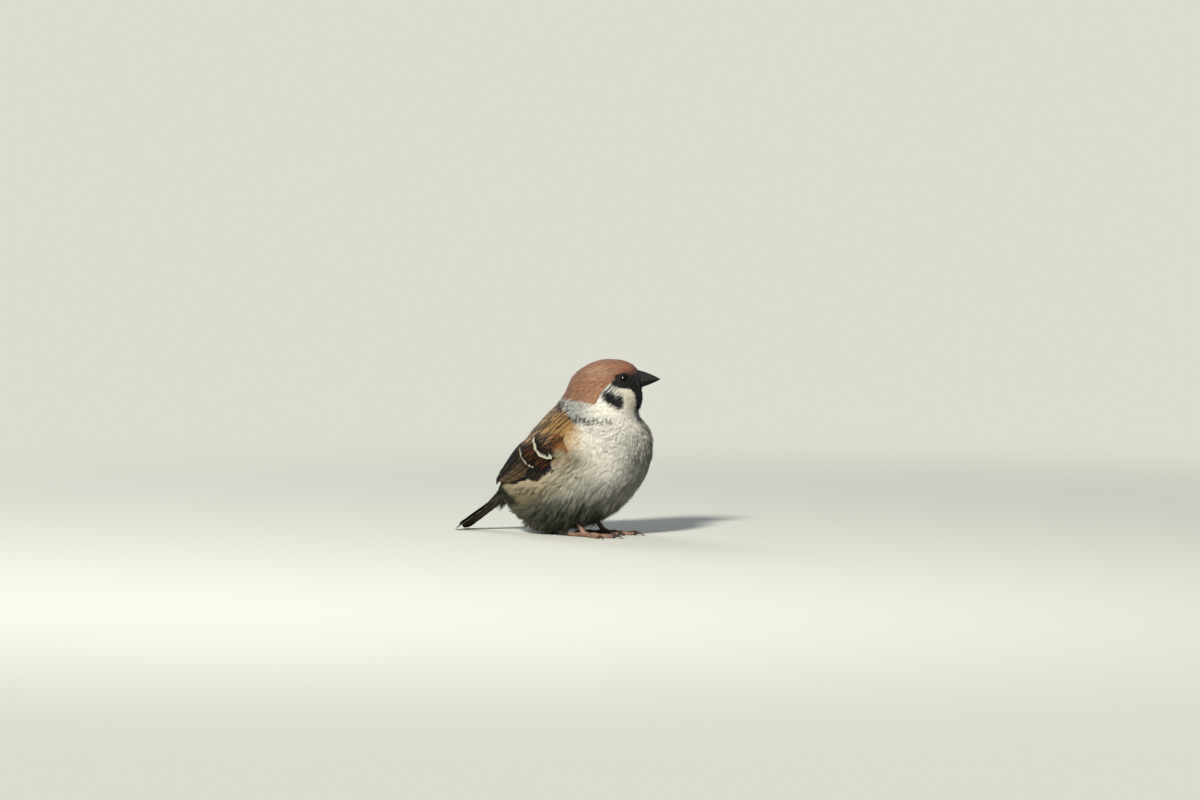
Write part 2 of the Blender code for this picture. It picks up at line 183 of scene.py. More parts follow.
# --- Skin ---------------------------------------------------------------------------------------
# The bird's skin over head, neck and trunk, hidden under its feathers. It is thin, soft and loose,
# and every small feather is rooted in it. It carries the plumage's own colours, a little darker.

MM = 0.001
# The plumage's outline, from the bill back over the root of the tail, in millimetres:
# back x, z, belly x, z, half width, share of the head's turn
STATIONS = np.array(
    [
        (23.8, 74.7, 24.9, 65.4, 4.4, 1.0),
        (20.9, 77.2, 26.2, 62.2, 6.4, 1.0),
        (15.5, 79.0, 25.4, 58.6, 8.2, 1.0),
        (8.0, 79.1, 24.2, 55.2, 11.2, 1.0),
        (0.5, 76.4, 25.6, 51.8, 13.8, 0.85),
        (-5.3, 71.6, 28.9, 48.4, 15.6, 0.6),
        (-8.3, 64.7, 31.3, 44.4, 17.4, 0.3),
        (-12.6, 58.6, 31.8, 39.2, 20.6, 0.1),
        (-18.6, 53.5, 30.6, 33.0, 23.4, 0.0),
        (-24.2, 48.0, 27.4, 25.6, 24.8, 0.0),
        (-28.8, 42.4, 22.0, 19.0, 25.2, 0.0),
        (-32.8, 36.8, 13.6, 11.9, 24.2, 0.0),
        (-36.0, 31.8, 2.6, 6.4, 21.8, 0.0),
        (-38.6, 28.0, -10.8, 3.8, 17.8, 0.0),
        (-40.6, 25.2, -22.6, 3.2, 13.2, 0.0),
        (-42.2, 22.6, -32.4, 9.0, 8.6, 0.0),
        (-43.6, 20.0, -38.8, 14.4, 5.6, 0.0),
        (-47.9, 14.6, -46.2, 11.4, 5.4, 0.0),
        (-52.8, 10.6, -51.3, 8.2, 6.0, 0.0),
    ]
)
# Soft swellings of the cheek, brow and flank: middle, reach, height
SWELLINGS = [
    ((14.6, 6.0, 61.0), 6.5, 1.1),
    ((17.6, 1.5, 74.6), 3.6, 0.5),
    ((2.0, 21.0, 24.0), 11.0, 1.2),
    ((31.0, 3.0, 40.0), 9.0, -0.5),
]
STEPS, SPOKES = 360, 288  # rows from bill to tail and columns round the body in the tables below
LAST = len(STATIONS) - 1.0


def between(rows, at):
    """Rows of numbers read at fractional row numbers, on a smooth curve through every row."""
    at = np.clip(at, 0, len(rows) - 1)
    low = np.minimum(at.astype(int), len(rows) - 2)
    t = (at - low)[..., None]
    padded = np.vstack([2 * rows[0] - rows[1], rows, 2 * rows[-1] - rows[-2]])
    a, b, c, d = (padded[low + k] for k in range(4))
    return (2 * b + (c - a) * t + (2 * a - 5 * b + 4 * c - d) * t**2 + (3 * b - a - 3 * c + d) * t**3) / 2


def turned(points, share=1.0):
    """Points of the straight head, turned with it to the bird's left and put in the model's place."""
    c, s = np.cos(share * HEAD_TURN), np.sin(share * HEAD_TURN)
    x, y = points[..., 0] - HEAD_PIVOT_X, points[..., 1]
    return np.stack([HEAD_PIVOT_X + c * x - s * y + SHIFT_X, s * x + c * y, points[..., 2]], -1)


def plumage_outline(station, angle):
    """Points on the outline of the plumage. Angle 0 is the middle of the back and grows to the left."""
    back_x, back_z, belly_x, belly_z, width, turn = np.moveaxis(between(STATIONS, station), -1, 0)
    hub = np.stack([(back_x + belly_x) / 2, 0 * back_x, (back_z + belly_z) / 2], -1)
    up = np.stack([(back_x - belly_x) / 2, 0 * back_x, (back_z - belly_z) / 2], -1)
    front = np.clip(1 - station / 1.2, 0, 1) ** 2  # the face rounds in to the root of the bill
    up = up * (1 - 0.09 * front)[..., None]
    egg = 0.08 * np.clip((station - 6) / 3, 0, 1)
    side = width * (1 - 0.28 * front) * np.sin(angle) * (1 - egg * np.cos(angle))
    at = hub + up * np.cos(angle)[..., None] + side[..., None] * np.array([0, 1.0, 0])
    lift = 0.0
    for (x, y, z), reach, height in SWELLINGS:
        for hand in (1, -1):
            away = np.linalg.norm(at - np.array([x, hand * y, z]), axis=-1) / reach
            lift = lift + height * np.exp(-(away**2))
    spoke = at - hub
    at = at + spoke / np.linalg.norm(spoke, axis=-1, keepdims=True) * lift[..., None]
    return turned(at, turn)


row_s, row_a = np.meshgrid(
    np.linspace(0, LAST, STEPS + 1), np.linspace(0, math.tau, SPOKES + 1), indexing="ij"
)
OUTLINE = plumage_outline(row_s, row_a)
ALONG = np.gradient(OUTLINE, LAST / STEPS, axis=0)  # millimetres for one station
AROUND = np.gradient(OUTLINE, math.tau / SPOKES, axis=1)  # millimetres for one radian
AROUND[:, 0] = AROUND[:, -1] = (OUTLINE[:, 1] - OUTLINE[:, -2]) / (2 * math.tau / SPOKES)
OUTWARD = np.cross(AROUND, ALONG)
OUTWARD /= np.linalg.norm(OUTWARD, axis=-1, keepdims=True) + 1e-9


def read(table, station, angle):
    """A table's values at any station and angle."""
    i = np.clip(station * STEPS / LAST, 0, STEPS - 1e-4)
    j = np.mod(angle, math.tau) * SPOKES / math.tau
    i0, j0 = i.astype(int), np.minimum(j.astype(int), SPOKES - 1)
    fi, fj = (i - i0)[..., None], (j - j0)[..., None]
    near = table[i0, j0] * (1 - fj) + table[i0, j0 + 1] * fj
    far = table[i0 + 1, j0] * (1 - fj) + table[i0 + 1, j0 + 1] * fj
    return near * (1 - fi) + far * fi


def directions(station, angle):
    """Along the outline for one station, around it for one radian, and straight out of it."""
    return tuple(read(table, station, angle) for table in (ALONG, AROUND, OUTWARD))


def on_body(station, angle, height):
    """Points at a height in millimetres over the plumage's outline; below 0 is inside it."""
    return read(OUTLINE, station, angle) + read(OUTWARD, station, angle) * height[..., None]


def degrees_off(angle):
    """Degrees from the middle of the back, 0 to 180, the same on both sides."""
    return np.degrees(np.abs(np.mod(angle + math.pi, math.tau) - math.pi))


def curve(value, places, heights):
    """A value read from straight runs between places."""
    return np.interp(value, places, heights)


DEPTH_AT = [0, 0.6, 1.5, 3, 5, 7, 10, 13, 15, 16, 18]  # stations
DEPTH = [0.06, 0.2, 0.5, 0.9, 1.4, 1.9, 2.2, 2.4, 1.6, 0.9, 0.4]


def coat_depth(station, angle):
    """Millimetres of feathers between skin and outline: least on the face, most on the belly."""
    return curve(station, DEPTH_AT, DEPTH) * (0.85 + 0.225 * (1 - np.cos(angle)))


def step(value, edge, soft):
    """0 below an edge and 1 above it, with a soft change as far as soft on each side."""
    t = np.clip((value - edge) / (2 * soft) + 0.5, 0, 1)
    return t * t * (3 - 2 * t)


def bell(value, middle, reach):
    """1 at the middle, fading away on both sides."""
    return np.exp(-(((value - middle) / reach) ** 2))


def ripple(x, y, seed):
    """A smooth uneven value between about -1 and 1."""
    turn = seed * 1.7
    a = np.sin(1.1 * x + 0.7 * y + turn) * np.sin(0.8 * y - 0.5 * x + 2.3 * turn)
    return 0.6 * a + 0.4 * np.sin(2.3 * x - 1.9 * y + 3.1 * turn) * np.sin(2.9 * y + 1.3 * x + turn)


def painted(like, colour):
    """One colour for every place of an array."""
    return np.ones(like.shape + (3,)) * np.array(colour)


def tint(colour, other, share):
    """Colours moved a share of the way to another one."""
    return colour + (np.array(other) - colour) * share[..., None]


# The markings follow, part by part. Places on head and neck are millimetres seen square to the head:
# ahead and up. Elsewhere they are stations and degrees off the middle of the back.
BREAST = (0.805, 0.780, 0.684)
BREAST_SHADE = (0.47, 0.465, 0.39)
PARTED_DOWN_AND_SHADE = (0.16, 0.165, 0.135)
BUFF = (0.300, 0.262, 0.160)
FLANK_BUFF = (0.300, 0.250, 0.140)
DUSKY_STRANDS = (0.105, 0.095, 0.060)
BELLY = (0.310, 0.312, 0.245)
GREY_WASH_AND_SHADE = (0.150, 0.158, 0.128)
UNDER_DOWN_AND_SHADE = (0.062, 0.066, 0.046)
VENT = (0.20, 0.185, 0.125)


def underparts(station, off, ahead, up, wave, fine):
    """White breast, buff flanks and a greyish belly, darker low down from dusky down and painted shade,
    with painted shade in the breast's partings and on its front.
    """
    flank = step(off, 84, 16) * (1 - step(off, 122, 22)) * step(station, 8.0, 1.0)
    colour = tint(painted(off, BREAST), BUFF, flank * 0.85)
    belly = step(station, 10.2, 1.4) * step(off, 112, 20)
    colour = tint(colour, BELLY, belly * (0.9 - 0.6 * step(ahead, 11.0, 6.0)))
    # darker low down: partly dusky down, partly painted shade where the underside turns away from the light
    low_down_and_shade = step(-up + 0.9 * wave, -curve(ahead, [-26, -16, 2, 12, 20], [22, 19, 16, 11, 6]), 6.0)
    colour = tint(colour, UNDER_DOWN_AND_SHADE, low_down_and_shade * step(station, 9.2, 1.0) * 0.85)
    high = step(station, 5.6, 0.6) * (1 - step(station, 8.2, 1.2)) * step(-off, -158, 20)
    colour = tint(colour, BREAST_SHADE, high * (0.35 + 0.5 * step(fine, 0.0, 0.8)) * 0.8)
    # partings in the middle of the breast, where dark down and painted shade show, and strands below the
    # bend of the wing
    parted_and_shaded = step(off, 154, 12) * step(station, 7.3, 0.5) * (1 - step(station, 10.0, 1.0))
    parted_and_shaded = parted_and_shaded * (0.2 + 0.8 * step(ripple(off * 0.3, station * 2.2, 4.0), 0.1, 0.5))
    colour = tint(colour, PARTED_DOWN_AND_SHADE, parted_and_shaded * 0.5)
    below = bell(station, 8.95, 0.55) * bell(off, 104, 12.0)
    below = below * (0.3 + 0.7 * step(ripple(off * 0.5, station * 2.0, 7.0), -0.1, 0.5))
    colour = tint(colour, DUSKY_STRANDS, below * 0.9)
    side = step(off, 56, 8) * (1 - step(off, 100, 14)) * step(station, 10.3, 0.6)
    colour = tint(colour, FLANK_BUFF, side * 0.85)
    # a grey wash on the belly, and painted shade on the front of the breast, which turns away from the
    # light
    wash = bell(ahead, 3, 9) * bell(up, 24, 6.5) * step(station, 9.0, 0.8)
    front = bell(ahead, 21.5, 3.5) * step(up, 26, 6) * (1 - step(up, 46, 5))
    colour = tint(colour, GREY_WASH_AND_SHADE, np.maximum(wash * 0.5, 0.34 * front) * (0.6 + 0.4 * fine))
    return tint(colour, VENT, step(station, 13.4, 0.8) * step(off, 100, 20) * 0.8)


MANTLE = (0.290, 0.180, 0.082)
RUMP = (0.190, 0.145, 0.090)
GOLD = (0.340, 0.195, 0.062)
CREAM = (0.560, 0.450, 0.280)
UMBER = (0.160, 0.095, 0.042)
STRIPE = (0.012, 0.010, 0.008)
TAIL_COVERTS = (0.060, 0.050, 0.034)
WING_SHADOW_BLACK = (0.014, 0.014, 0.010)
BACK_AT = [6.4, 6.9, 7.3, 7.9, 8.6, 9.4, 10.4, 12, 13.5, 15, 16.2, 18]
BACK_EDGE = [18, 80, 92, 98, 98, 94, 78, 62, 66, 80, 92, 94]
FILE_FIRST, FILE_GAP = 1.5, 5.9  # degrees off the back of the files of mantle feathers


def upperparts(colour, station, off, wave, fine, striped):
    """Brown from the collar to the tail, golden over the shoulders, with black stripes and spots, and a
    painted shadow beneath the wing's tip.
    """
    back = 1 - step(off + 5 * wave + 3 * fine, curve(station, BACK_AT, BACK_EDGE), 9)
    brown = tint(painted(off, MANTLE), RUMP, step(station, 11.2, 0.8))
    gold = step(off, 46, 9) * (1 - step(station, 8.5, 0.7)) * step(station, 6.7, 0.2)
    brown = tint(brown, GOLD, gold * 0.9)
    brown = tint(brown, CREAM, gold * step(off + 3 * wave, 84, 7) * 0.85)
    umber = step(off, 56, 10) * step(station, 8.5, 0.8) * (1 - step(station, 10.0, 0.5))
    brown = tint(brown, UMBER, umber * 0.8)
    stripes = step(np.cos((off - FILE_FIRST) * math.tau / FILE_GAP), 0.3, 0.4) * striped
    stripes = stripes * step(-off, -72, 5) * step(station, 6.3, 0.15) * (1 - step(station, 11.2, 0.7))
    spots = step(ripple(off * 0.16, station * 5.0, 9.0), -0.05, 0.2)
    spots = spots * (1 - step(station, 7.0, 0.15)) * (1 - step(off, 64, 8))
    brown = tint(brown, STRIPE, np.maximum(stripes, spots) * 0.95)
    colour = tint(colour, brown, back * step(station, 6.2, 0.2))
    colour = tint(colour, TAIL_COVERTS, step(station, 15.0, 0.6) * (1 - step(off, 100, 20)))
    # painted shadow: the rump's side beneath the folded wing's tip is made nearly black
    in_wing_shadow = step(station, 13.1, 0.3) * step(off, 50, 10) * (1 - step(off, 97, 6))
    return tint(colour, WING_SHADOW_BLACK, in_wing_shadow * 0.95)


WHITE = (0.760, 0.750, 0.650)
COLLAR_AT = [-12, -9.4, -7.1, -5.6, -2.7, 2.6, 7.7, 12]  # ahead
COLLAR_LOW = [61.0, 58.8, 54.8, 52.6, 51.2, 50.6, 51.0, 51.0]  # up
THROAT = (0.900, 0.870, 0.760)
SMOKE = (0.135, 0.152, 0.146)
FLECK = (0.016, 0.016, 0.014)
CHEEK_BUFF = (0.990, 0.930, 0.740)
EAR_GREY = (0.050, 0.060, 0.062)
EAR_BLACK = (0.005, 0.006, 0.006)
EAR_SPOT, EAR_LOBE = (12.3, 61.8), (15.7, 60.4)


def collar_and_cheeks(colour, station, off, ahead, up, wave, fine):
    """The white collar, smoky behind and flecked along its lower edge, and the cheek's black spot."""
    neck = station < 7.4
    collar_low = curve(ahead, COLLAR_AT, COLLAR_LOW)
    pale = step(up + 0.5 * wave, collar_low, 0.6) * neck * (1 - step(station, 6.95, 0.4))
    colour = tint(colour, np.array(WHITE) * 0.84, pale)
    colour = tint(colour, THROAT, step(-station, -5.6, 0.9) * step(off, 84, 16) * 0.8)
    smoke = (0.45 + 0.55 * step(ripple(ahead * 2.6, up * 1.4, 8.0), -0.1, 0.6)) * step(-ahead, -1.5, 5.0)
    colour = tint(colour, SMOKE, smoke * pale * 0.80)
    fleck = step(ripple(ahead * 2.0, up * 1.2, 6.0) + 0.25 * fine, -0.04, 0.10)
    fleck = fleck * np.exp(-(((up - collar_low - 1.4) / 1.7) ** 4)) * neck * step(-ahead, -13.0, 2)
    colour = tint(colour, FLECK, fleck * (1 - step(ahead, 4.0, 5.0) * 0.4) * 0.97)
    cheek = step(up, 57, 1.5) * step(ahead, 6, 2) * step(-station, -5.2, 0.4)
    front = step(ahead, 16.2, 2.2) * step(-up, -66.5, 1.5)
    colour = tint(colour, CHEEK_BUFF, cheek * front * 0.9)
    # the ear's feathers slant down and back
    along, over = -0.78 * ahead - 0.62 * up, 0.62 * ahead - 0.78 * up
    thread = np.sin(over * 4.4 + 1.4 * np.sin(along * 0.8) + 1.2 * wave)
    grey = step(thread, -0.5, 0.6) * step(-ahead, -14.4, 2.2) * step(up, 61.5, 1.5)
    colour = tint(colour, EAR_GREY, grey * cheek * step(ahead, 7.8, 1.2) * 0.78)
    from_x, from_z = ahead - EAR_SPOT[0], up - EAR_SPOT[1]
    main = np.hypot((from_x + 0.3 * from_z) / 3.5, (from_z + 0.30 * from_x) / 2.7)
    lobe = np.hypot((ahead - EAR_LOBE[0]) / 1.9, (up - EAR_LOBE[1]) / 3.3)
    ear = np.minimum(main, lobe) + 0.20 * fine + 0.26 * np.sin(over * 6.5 + 1.1 * wave)
    return tint(colour, EAR_BLACK, (1 - step(ear, 1.05, 0.28)) * cheek * 0.99)


CHESTNUT = (0.330, 0.170, 0.096)
FOREHEAD = (0.300, 0.130, 0.068)
NAPE = (0.235, 0.118, 0.064)
CROWN_HIGHLIGHT = (0.460, 0.300, 0.205)
CROWN_FRONT = (0.022, 0.012, 0.009)
BROW = (0.030, 0.015, 0.010)
CAP_AT = [-14, -9.4, -4.9, -0.2, 3.9, 5.6, 6.6, 7.6, 9.4, 11.5, 14.0, 17.0, 20.5, 24.6]
CAP_LOW = [61.9, 61.7, 61.4, 60.5, 59.6, 60.6, 62.9, 65.0, 67.2, 68.7, 71.0, 71.6, 71.2, 72.0]


def cap(colour, station, off, ahead, up, wave):
    """The streaked chestnut cap with its dark brow and a painted highlight on top, and the white end of the
    collar behind the cheek.
    """
    capped = step(up + 0.25 * wave, curve(ahead, CAP_AT, CAP_LOW), 0.35) * (station < 7.2)
    crown = tint(painted(off, CHESTNUT), FOREHEAD, step(ahead, 16.5, 5.0))
    crown = tint(crown, NAPE, step(-ahead, -2.0, 5))
    # a painted highlight: a lighter, paler patch on top of the crown
    crown = tint(crown, CROWN_HIGHLIGHT, bell(ahead, 6.5, 4.5) * bell(up, 74.0, 2.2) * 0.6)
    hairs = 0.6 * ripple(off * 1.6, station * 1.5, 5.0) + 0.4 * ripple(off * 0.5, station * 1.1, 2.0)
    crown = crown * (1 + 0.42 * hairs)[..., None]
    crown = tint(crown, CROWN_FRONT, step(ahead, 23.6, 0.8) * 0.8)
    height = 0.6 + 0.27 * np.clip(ahead - 14, 0, 9) + 0.5 * np.abs(hairs)
    brow = bell(np.clip(up - 72.2, 0, 9), 0, height) * step(ahead, 13.5, 2.0)
    crown = tint(crown, BROW, brow * 0.9)
    colour = tint(colour, crown, capped)
    rear = np.clip(bell(ahead, 5.8, 1.7) * bell(up, 61.2, 1.5) * 1.6, 0, 1) * step(ahead, 4.3, 0.5)
    return tint(colour, WHITE, rear * (1 - capped))


BLACK = (0.009, 0.009, 0.008)
BAND_BROWN = (0.045, 0.037, 0.028)
GAPE_LINE = (0.30, 0.29, 0.25)
BAND_LOW_AT = [11.6, 13.0, 14.5, 17.1, 20.3, 22.5, 24.5]
BAND_LOW = [68.6, 67.9, 67.1, 66.6, 66.2, 65.0, 64.0]
BAND_HIGH_AT = [11.9, 13.0, 14.3, 16.0, 18.0, 20.5, 24.6]
BAND_HIGH = [68.9, 69.9, 72.2, 73.0, 72.7, 72.2, 73.4]
GAPE_AT, GAPE_UP = [21.2, 23.2, 24.4, 25.4], [66.8, 69.3, 70.4, 71.6]
BIB_UP, BIB_AHEAD = [51.2, 52.9, 55.5, 59.6, 63.6, 66], [24.6, 23.2, 22.8, 23.2, 22.8, 21.0]


def face(colour, station, off, ahead, up, fine):
    """Black lores and a band through the eye, a thin pale line behind the gape, and the black bib."""
    rough_up = 0.2 * fine
    band = step(up + rough_up, curve(ahead, BAND_LOW_AT, BAND_LOW), 0.35)
    band = band * step(-up + rough_up, -curve(ahead, BAND_HIGH_AT, BAND_HIGH), 0.5) * step(ahead, 12.1, 0.5)
    colour = tint(colour, BLACK, band)
    colour = tint(colour, BAND_BROWN, band * step(fine, 0.1, 0.5) * 0.4)
    gape = bell(up, curve(ahead, GAPE_AT, GAPE_UP), 0.28) * step(ahead, 21.4, 0.3) * step(fine, -0.3, 0.5)
    colour = tint(colour, GAPE_LINE, gape * 0.7)
    bib = step(ahead + 0.5 * fine, curve(up, BIB_UP, BIB_AHEAD), 0.4) * step(off, 84, 6)
    return tint(colour, BLACK, bib * step(up, 51.8, 0.5) * (station < 6.8))


MARKS_BEHIND = 0.31  # millimetres from the marks' zero ahead to the body's own origin


def markings(station, angle, striped=1.0):
    """The plumage's colour at each place, with or without the mantle's black stripes."""
    off = degrees_off(angle)
    spot = read(OUTLINE, station, -np.radians(off))
    ahead = (spot[..., 0] - SHIFT_X) * view_right.x + spot[..., 1] * view_right.y + MARKS_BEHIND
    up = spot[..., 2]
    wave = ripple(ahead * 0.9, up * 0.9, 1.0)
    fine = ripple(ahead * 2.6, up * 2.1, 3.0)
    colour = underparts(station, off, ahead, up, wave, fine)
    colour = upperparts(colour, station, off, wave, fine, striped)
    colour = collar_and_cheeks(colour, station, off, ahead, up, wave, fine)
    colour = cap(colour, station, off, ahead, up, wave)
    return face(colour, station, off, ahead, up, fine)


def add_mesh(name, points, faces, uv, attributes):
    """A smooth mesh object from arrays. faces holds arrays of corner numbers; uv is for each point."""
    mesh = bpy.data.meshes.new(name)
    corners = np.concatenate([f.ravel() for f in faces]).astype(np.int32)
    sizes = np.concatenate([np.full(len(f), f.shape[1]) for f in faces]).astype(np.int32)
    mesh.vertices.add(len(points))
    mesh.vertices.foreach_set("co", (points * MM).astype(np.float32).ravel())
    mesh.loops.add(len(corners))
    mesh.loops.foreach_set("vertex_index", corners)
    mesh.polygons.add(len(sizes))
    starts = np.concatenate([[0], np.cumsum(sizes)[:-1]]).astype(np.int32)
    mesh.polygons.foreach_set("loop_start", starts)
    mesh.update(calc_edges=True)
    mesh.polygons.foreach_set("use_smooth", np.full(len(sizes), True))
    layer = mesh.uv_layers.new(name="OFBake")
    layer.data.foreach_set("uv", uv[corners].astype(np.float32).ravel())
    for key, values in attributes.items():
        rgba = np.concatenate([values, np.ones((len(values), 1))], 1).astype(np.float32)
        mesh.attributes.new(key, "FLOAT_COLOR", "POINT").data.foreach_set("color", rgba.ravel())
    piece = bpy.data.objects.new(name, mesh)
    bpy.context.scene.collection.objects.link(piece)
    return piece


def grid_faces(rows, columns, closed=False, flip=False):
    """Quads of a grid of points stored row by row."""
    i, j = np.meshgrid(np.arange(rows - 1), np.arange(columns if closed else columns - 1), indexing="ij")
    here, right = i * columns, (j + 1) % columns
    quad = np.stack([here + j, here + right, here + columns + right, here + columns + j], -1).reshape(-1, 4)
    return quad[:, ::-1] if flip else quad


def fan_faces(ring, hub, flip=False):
    """Triangles from a closed ring of point numbers to one point."""
    tri = np.stack([np.roll(ring, -1), ring, np.full(len(ring), hub)], 1)
    return tri[:, ::-1] if flip else tri


def barb_grain_group():
    """Fine uneven streaks and a soft mottling over a colour, with the height and roughness to match."""
    group = bpy.data.node_groups.new("barb_grain", "ShaderNodeTree")
    face = group.interface
    face.new_socket("Colour", in_out="INPUT", socket_type="NodeSocketColor")
    face.new_socket("Place", in_out="INPUT", socket_type="NodeSocketVector")
    face.new_socket("Streak Scale", in_out="INPUT", socket_type="NodeSocketFloat")
    face.new_socket("Mottle Scale", in_out="INPUT", socket_type="NodeSocketFloat")
    face.new_socket("Contrast", in_out="INPUT", socket_type="NodeSocketFloat")
    face.new_socket("Colour", in_out="OUTPUT", socket_type="NodeSocketColor")
    face.new_socket("Height", in_out="OUTPUT", socket_type="NodeSocketFloat")
    face.new_socket("Roughness", in_out="OUTPUT", socket_type="NodeSocketFloat")
    nodes, links = group.nodes, group.links
    start, end = nodes.new("NodeGroupInput"), nodes.new("NodeGroupOutput")

    def sum_of(operation, first, second, third=None):
        node = nodes.new("ShaderNodeMath")
        node.operation = operation
        for socket, value in zip(node.inputs, (first, second, third)):
            if isinstance(value, float):
                socket.default_value = value
            elif value is not None:
                links.new(value, socket)
        return node.outputs[0]

    streaks, mottle = nodes.new("ShaderNodeTexNoise"), nodes.new("ShaderNodeTexNoise")
    streaks.inputs["Detail"].default_value = 3.0
    for noise, scale in ((streaks, "Streak Scale"), (mottle, "Mottle Scale")):
        links.new(start.outputs["Place"], noise.inputs["Vector"])
        links.new(start.outputs[scale], noise.inputs["Scale"])
    soft = sum_of("MULTIPLY", mottle.outputs["Fac"], 0.35)
    both = sum_of("MULTIPLY_ADD", streaks.outputs["Fac"], 0.65, soft)
    shade = nodes.new("ShaderNodeMapRange")
    shade.inputs["From Min"].default_value = 0.3
    shade.inputs["From Max"].default_value = 0.7
    links.new(both, shade.inputs["Value"])
    links.new(sum_of("SUBTRACT", 1.0, start.outputs["Contrast"]), shade.inputs["To Min"])
    links.new(sum_of("ADD", 1.0, start.outputs["Contrast"]), shade.inputs["To Max"])
    times = nodes.new("ShaderNodeVectorMath")
    times.operation = "SCALE"
    links.new(start.outputs["Colour"], times.inputs[0])
    links.new(shade.outputs["Result"], times.inputs["Scale"])
    links.new(times.outputs["Vector"], end.inputs["Colour"])
    links.new(streaks.outputs["Fac"], end.inputs["Height"])
    rough = nodes.new("ShaderNodeMapRange")
    rough.inputs["To Min"].default_value = 0.5
    rough.inputs["To Max"].default_value = 0.8
    links.new(mottle.outputs["Fac"], rough.inputs["Value"])
    links.new(rough.outputs["Result"], end.inputs["Roughness"])
    return group


BARB_GRAIN = barb_grain_group()


def grained_material(name, place, streaks, mottle, contrast, bump, rough=None):
    """The piece's own colours under the grain of barbs, skin or horn. place names what the grain
    lies along: the piece's own space, or an attribute that holds such a place for each point."""
    material = bpy.data.materials.new(name)
    material.use_nodes = True
    nodes, links = material.node_tree.nodes, material.node_tree.links
    shader = nodes["Principled BSDF"]
    own = nodes.new("ShaderNodeAttribute")
    own.attribute_name = "plumage"
    if place == "Object":
        where = nodes.new("ShaderNodeTexCoord").outputs["Object"]
    else:
        lines = nodes.new("ShaderNodeAttribute")
        lines.attribute_name = place
        where = lines.outputs["Vector"]
    grain = nodes.new("ShaderNodeGroup")
    grain.node_tree = BARB_GRAIN
    grain.inputs["Streak Scale"].default_value = streaks
    grain.inputs["Mottle Scale"].default_value = mottle
    grain.inputs["Contrast"].default_value = contrast
    relief = nodes.new("ShaderNodeBump")
    relief.inputs["Strength"].default_value = bump
    relief.inputs["Distance"].default_value = 0.0001
    links.new(own.outputs["Color"], grain.inputs["Colour"])
    links.new(where, grain.inputs["Place"])
    links.new(grain.outputs["Colour"], shader.inputs["Base Color"])
    if rough is None:
        links.new(grain.outputs["Roughness"], shader.inputs["Roughness"])
    else:
        shader.inputs["Roughness"].default_value = rough
    links.new(grain.outputs["Height"], relief.inputs["Height"])
    links.new(relief.outputs["Normal"], shader.inputs["Normal"])
    return material


def feathery(material, sheen, specular):
    """Gives a material the soft sheen of barbs."""
    shader = material.node_tree.nodes["Principled BSDF"]
    shader.inputs["Sheen Weight"].default_value = sheen
    shader.inputs["Sheen Roughness"].default_value = 0.4
    shader.inputs["Specular IOR Level"].default_value = specular


SKIN_ROWS, SKIN_SPOKES = 150, 128
SKIN_END = 16.6  # station

grid_s, grid_a = np.meshgrid(
    np.linspace(0.0, SKIN_END, SKIN_ROWS), np.arange(SKIN_SPOKES) * math.tau / SKIN_SPOKES, indexing="ij"
)
skin_points = on_body(grid_s, grid_a, -coat_depth(grid_s, grid_a)).reshape(-1, 3)
skin_colours = markings(grid_s, grid_a).reshape(-1, 3) * 0.7
skin_uv = np.stack([grid_a / math.tau, grid_s / LAST], -1).reshape(-1, 2)
ends = [skin_points[:SKIN_SPOKES].mean(0), skin_points[-SKIN_SPOKES:].mean(0)]
hub = SKIN_ROWS * SKIN_SPOKES
ring = np.arange(SKIN_SPOKES)
skin = add_mesh(
    "skin",
    np.vstack([skin_points, ends]),
    [
        grid_faces(SKIN_ROWS, SKIN_SPOKES, True),
        np.vstack([fan_faces(ring, hub), fan_faces(hub - SKIN_SPOKES + ring, hub + 1, True)]),
    ],
    np.vstack([skin_uv, [[0.5, 0.0], [0.5, SKIN_END / LAST]]]),
    {"plumage": np.vstack([skin_colours, skin_colours[:1], skin_colours[-1:]])},
)
skin_material = grained_material(
    "down_on_skin", "Object", streaks=2600.0, mottle=300.0, contrast=0.25, bump=0.6
)
feathery(skin_material, sheen=0.15, specular=0.2)
skin.data.materials.append(skin_material)
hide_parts("head", "neck", "trunk")
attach(skin, "root")

# --- Eyes ---------------------------------------------------------------------------------------
# Dark glassy balls set in the sides of the head: a black pupil in a very dark brown iris under a
# clear bulging cornea. A thin ring of bare lid, nearly black and finely wrinkled, lies tight round each,
# its rim painted grey as a highlight.

EYE_RADIUS = 3.1
EYE_OPENING = 1.9  # radius of the opening between the lids
EYE_SEAT = math.sqrt(EYE_RADIUS**2 - EYE_OPENING**2)  # from the ball's middle out to the opening
LID_WIDTH, LID_HIDDEN = 0.42, 0.9  # the part that shows, and the part under the feathers
EYE_SPOT = (17.85, 71.0)  # where the opening's middle shows on the straight head: ahead, up
EYE_TILT = (0.22, 0.20)  # the eye looks a little ahead and up
PUPIL_EDGE, IRIS_EDGE, CORNEA_EDGE = math.radians(17), math.radians(36), math.radians(42)
CORNEA_RISE = 0.22
EYE_ROWS, EYE_SPOKES, LID_ROWS, LID_SPOKES = 40, 56, 26, 96
PUPIL_BLACK, IRIS_BROWN, BALL_DARK = (0.002, 0.002, 0.002), (0.014, 0.0065, 0.0035), (0.006, 0.005, 0.005)
LID_BLACK, LID_RIM_HIGHLIGHT = (0.012, 0.012, 0.011), (0.060, 0.060, 0.054)
FACE_ROWS = 80  # rows of the outline's table that reach from the bill past the eye
UPWARD = np.array([0, 0, 1.0])


def unit(vectors):
    """The same directions, one long."""
    return vectors / np.linalg.norm(vectors, axis=-1, keepdims=True)


